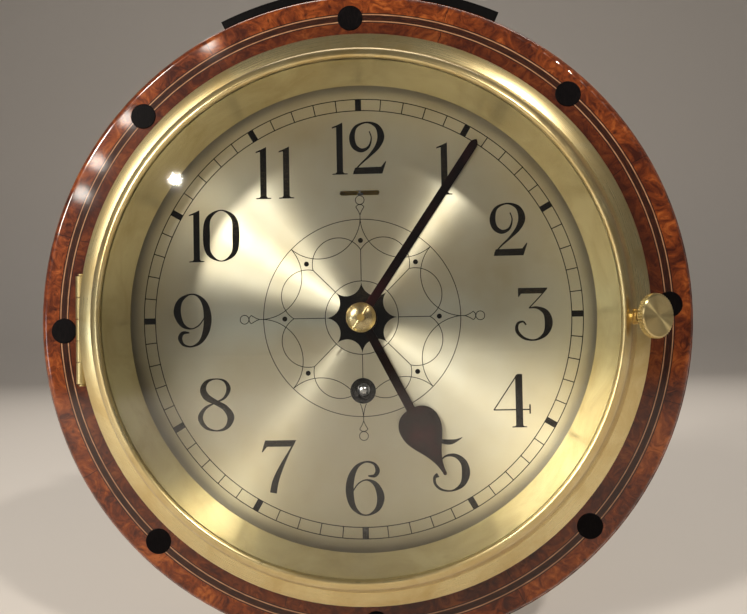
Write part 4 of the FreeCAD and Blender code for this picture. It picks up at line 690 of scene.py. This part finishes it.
RIM_CIRCLE, HUB_CIRCLE = 44.9, 16.7
SPOKE_END = 31.0
LENS_OUT, LENS_IN = 38.6, 30.9
STAR_TIP, STAR_WAIST, STAR_CORE = 16.3, 11.2, 5.4
DOT_PLACE, DOT_R = 35.2, 1.15
STEM_END, FORK_MIDDLE, FORK_END, FORK_CLOSE = 46.8, 48.6, 50.6, 51.6
RING_PLACE, RING_R = 53.7, 2.0


def bow(end_radius, middle_radius, degrees, steps=28):
    """An arc from one spoke to the next."""
    first, middle, last = degrees, degrees + 22.5, degrees + 45
    return arc_through(on_circle(end_radius, first), on_circle(middle_radius, middle),
                       on_circle(end_radius, last), steps)


def engrave_wheel(material):
    """The centre motif: eight spokes, crossing arcs and an eight-pointed star round the hub."""
    cut = Engraving("centre_motif")
    cut.circle(RIM_CIRCLE)
    cut.circle(HUB_CIRCLE)
    for i in range(8):
        here = 45 * i
        cut.line([on_circle(HUB_CIRCLE, here), on_circle(SPOKE_END, here)])
        cut.line(bow(SPOKE_END, LENS_OUT, here))
        cut.line(bow(RIM_CIRCLE, LENS_IN, here))
        if here != 180:
            cut.spot(DOT_R, *on_circle(DOT_PLACE, here))
        waist = bow(STAR_TIP, STAR_WAIST, here, steps=12)
        core = []
        for x, z in waist:
            share = STAR_CORE / math.hypot(x, z)
            core.append((x * share, z * share))
        cut.strip(waist, core)
    for quarter in range(4):
        engrave_tail(cut, 90 * quarter)
    cut.finish(material)


def engrave_tail(cut, degrees):
    """A forked stem with a small ring, outside the motif's rim."""
    turn = math.radians(degrees)

    def spot(x, z):
        return x * math.cos(turn) + z * math.sin(turn), z * math.cos(turn) - x * math.sin(turn)

    cut.line([spot(0.0, RIM_CIRCLE), spot(0.0, STEM_END)])
    for side in (-1, 1):
        opening = smooth([(0.0, STEM_END), (side * 0.7, FORK_MIDDLE), (side * 1.9, FORK_END)])
        closing = smooth([(side * 1.9, FORK_END), (side * 1.0, FORK_CLOSE - 0.2), (0.0, FORK_CLOSE)])
        cut.line([spot(*point) for point in opening])
        cut.line([spot(*point) for point in closing])
    cut.circle(RING_R, *spot(0.0, RING_PLACE), steps=28)


# ---- stage, light and camera --------------------------------------------------------------------

def plain(name, colour, roughness):
    f = Finish(name)
    speckle = f.noise(f.place, 0.02, detail=3.0)
    shade = f.mix(f.math("MULTIPLY", speckle, 0.06), colour, (0.5, 0.5, 0.5, 1.0))
    return f.done(shade, roughness)


SWEEP_BACK = 2.6
SWEEP_RADIUS = 0.8
SWEEP_TOP = 4.0
SWEEP_HALF_WIDTH = 5.0
SWEEP_FRONT = -4.0


def build_stage():
    """A pale floor that curves up into a backdrop, under and well behind the clock."""
    ground = cad_box[0][2]
    profile = [(SWEEP_FRONT, ground), (SWEEP_BACK - SWEEP_RADIUS, ground)]
    for i in range(1, 17):
        turn = math.radians(90 * i / 16)
        profile.append((SWEEP_BACK - SWEEP_RADIUS + SWEEP_RADIUS * math.sin(turn),
                        ground + SWEEP_RADIUS * (1 - math.cos(turn))))
    profile.append((SWEEP_BACK, SWEEP_TOP))
    places = [(x, y, z) for y, z in profile for x in (-SWEEP_HALF_WIDTH, SWEEP_HALF_WIDTH)]
    rows = range(0, len(places) - 2, 2)
    data = bpy.data.meshes.new("sweep")
    data.from_pydata(places, [], [(i, i + 1, i + 3, i + 2) for i in rows])
    sweep = bpy.data.objects.new("sweep", data)
    for face in data.polygons:
        face.use_smooth = True
    bpy.context.scene.collection.objects.link(sweep)
    data.materials.append(plain("sweep_paper", srgb(214, 208, 202), 0.8))


def softbox(name, clock_angle, off_axis, distance, size, power, colour):
    """A round or oval lamp turned to the clock, placed by its angle round the dial and off its axis."""
    lamp = bpy.data.lights.new(name, "AREA")
    lamp.shape = "ELLIPSE"
    lamp.size, lamp.size_y = size
    lamp.energy = power
    lamp.color = colour
    made = bpy.data.objects.new(name, lamp)
    aside = distance * math.sin(math.radians(off_axis))
    x, z = on_circle(aside, clock_angle)
    made.location = (x, DIAL_FRONT - distance * math.cos(math.radians(off_axis)), z)
    aim = Vector((0, DIAL_FRONT, 0)) - made.location
    made.rotation_euler = aim.to_track_quat("-Z", "Y").to_euler()
    bpy.context.scene.collection.objects.link(made)


# the clock angles of the small lamps that the polish mirrors, and those of the main lamps with their watts
CEILING_LAMPS = (294, 300, 309, 328)
KEY_LAMPS = ((290, 5.0), (303, 11.0), (318, 5.5))
WARM, COOL = (1.0, 0.93, 0.83), (0.78, 0.89, 1.0)


def light_stage():
    """Small warm lamps above to the left and one to the right; soft fill from below, one side and behind."""
    for clock_angle in CEILING_LAMPS:
        softbox("lamp_%d" % clock_angle, clock_angle, 29.6, 1.7, (0.036, 0.036), 0.1, WARM)
    for clock_angle, power in KEY_LAMPS:
        softbox("key_%d" % clock_angle, clock_angle, 46, 1.6, (0.16, 0.16), power, WARM)
    softbox("near", 305, 22.5, 1.7, (0.022, 0.022), 0.6, WARM)
    softbox("second", 34, 50, 1.6, (0.09, 0.09), 11, WARM)
    softbox("window", 255, 55, 1.5, (0.6, 0.8), 7, COOL)
    softbox("fill", 150, 62, 1.9, (0.9, 0.9), 3, WARM)
    softbox("back", 0, 140, 1.7, (1.2, 1.2), 13, WARM)
    world = bpy.data.worlds.new("studio")
    bpy.context.scene.world = world
    world.use_nodes = True
    backdrop = world.node_tree.nodes["Background"]
    backdrop.inputs["Color"].default_value = (0.62, 0.59, 0.56, 1.0)
    backdrop.inputs["Strength"].default_value = 0.2
    bpy.context.scene.view_settings.view_transform = "Standard"


CAMERA_PLACE = Vector((0.0163, -0.3863, -0.0042))
CAMERA_TARGET = Vector((0.0054, DIAL_FRONT, 0.0047))
CAMERA_ROLL = math.radians(-1.06)
CAMERA_LENS = 36.14


def build_camera():
    data = bpy.data.cameras.new("photo_view")
    data.lens = CAMERA_LENS
    data.sensor_width = 36.0
    data.clip_start = 0.01
    camera = bpy.data.objects.new("photo_view", data)
    camera.location = CAMERA_PLACE
    camera.rotation_mode = "QUATERNION"
    aim = (CAMERA_TARGET - CAMERA_PLACE).to_track_quat("-Z", "Y")
    camera.rotation_quaternion = aim @ Quaternion((0, 0, 1), CAMERA_ROLL)
    bpy.context.scene.collection.objects.link(camera)
    bpy.context.scene.camera = camera


dress_nodes()
WAX = wax()
engrave_track(WAX)
engrave_numerals(WAX)
engrave_wheel(WAX)
build_stage()
light_stage()
build_camera()
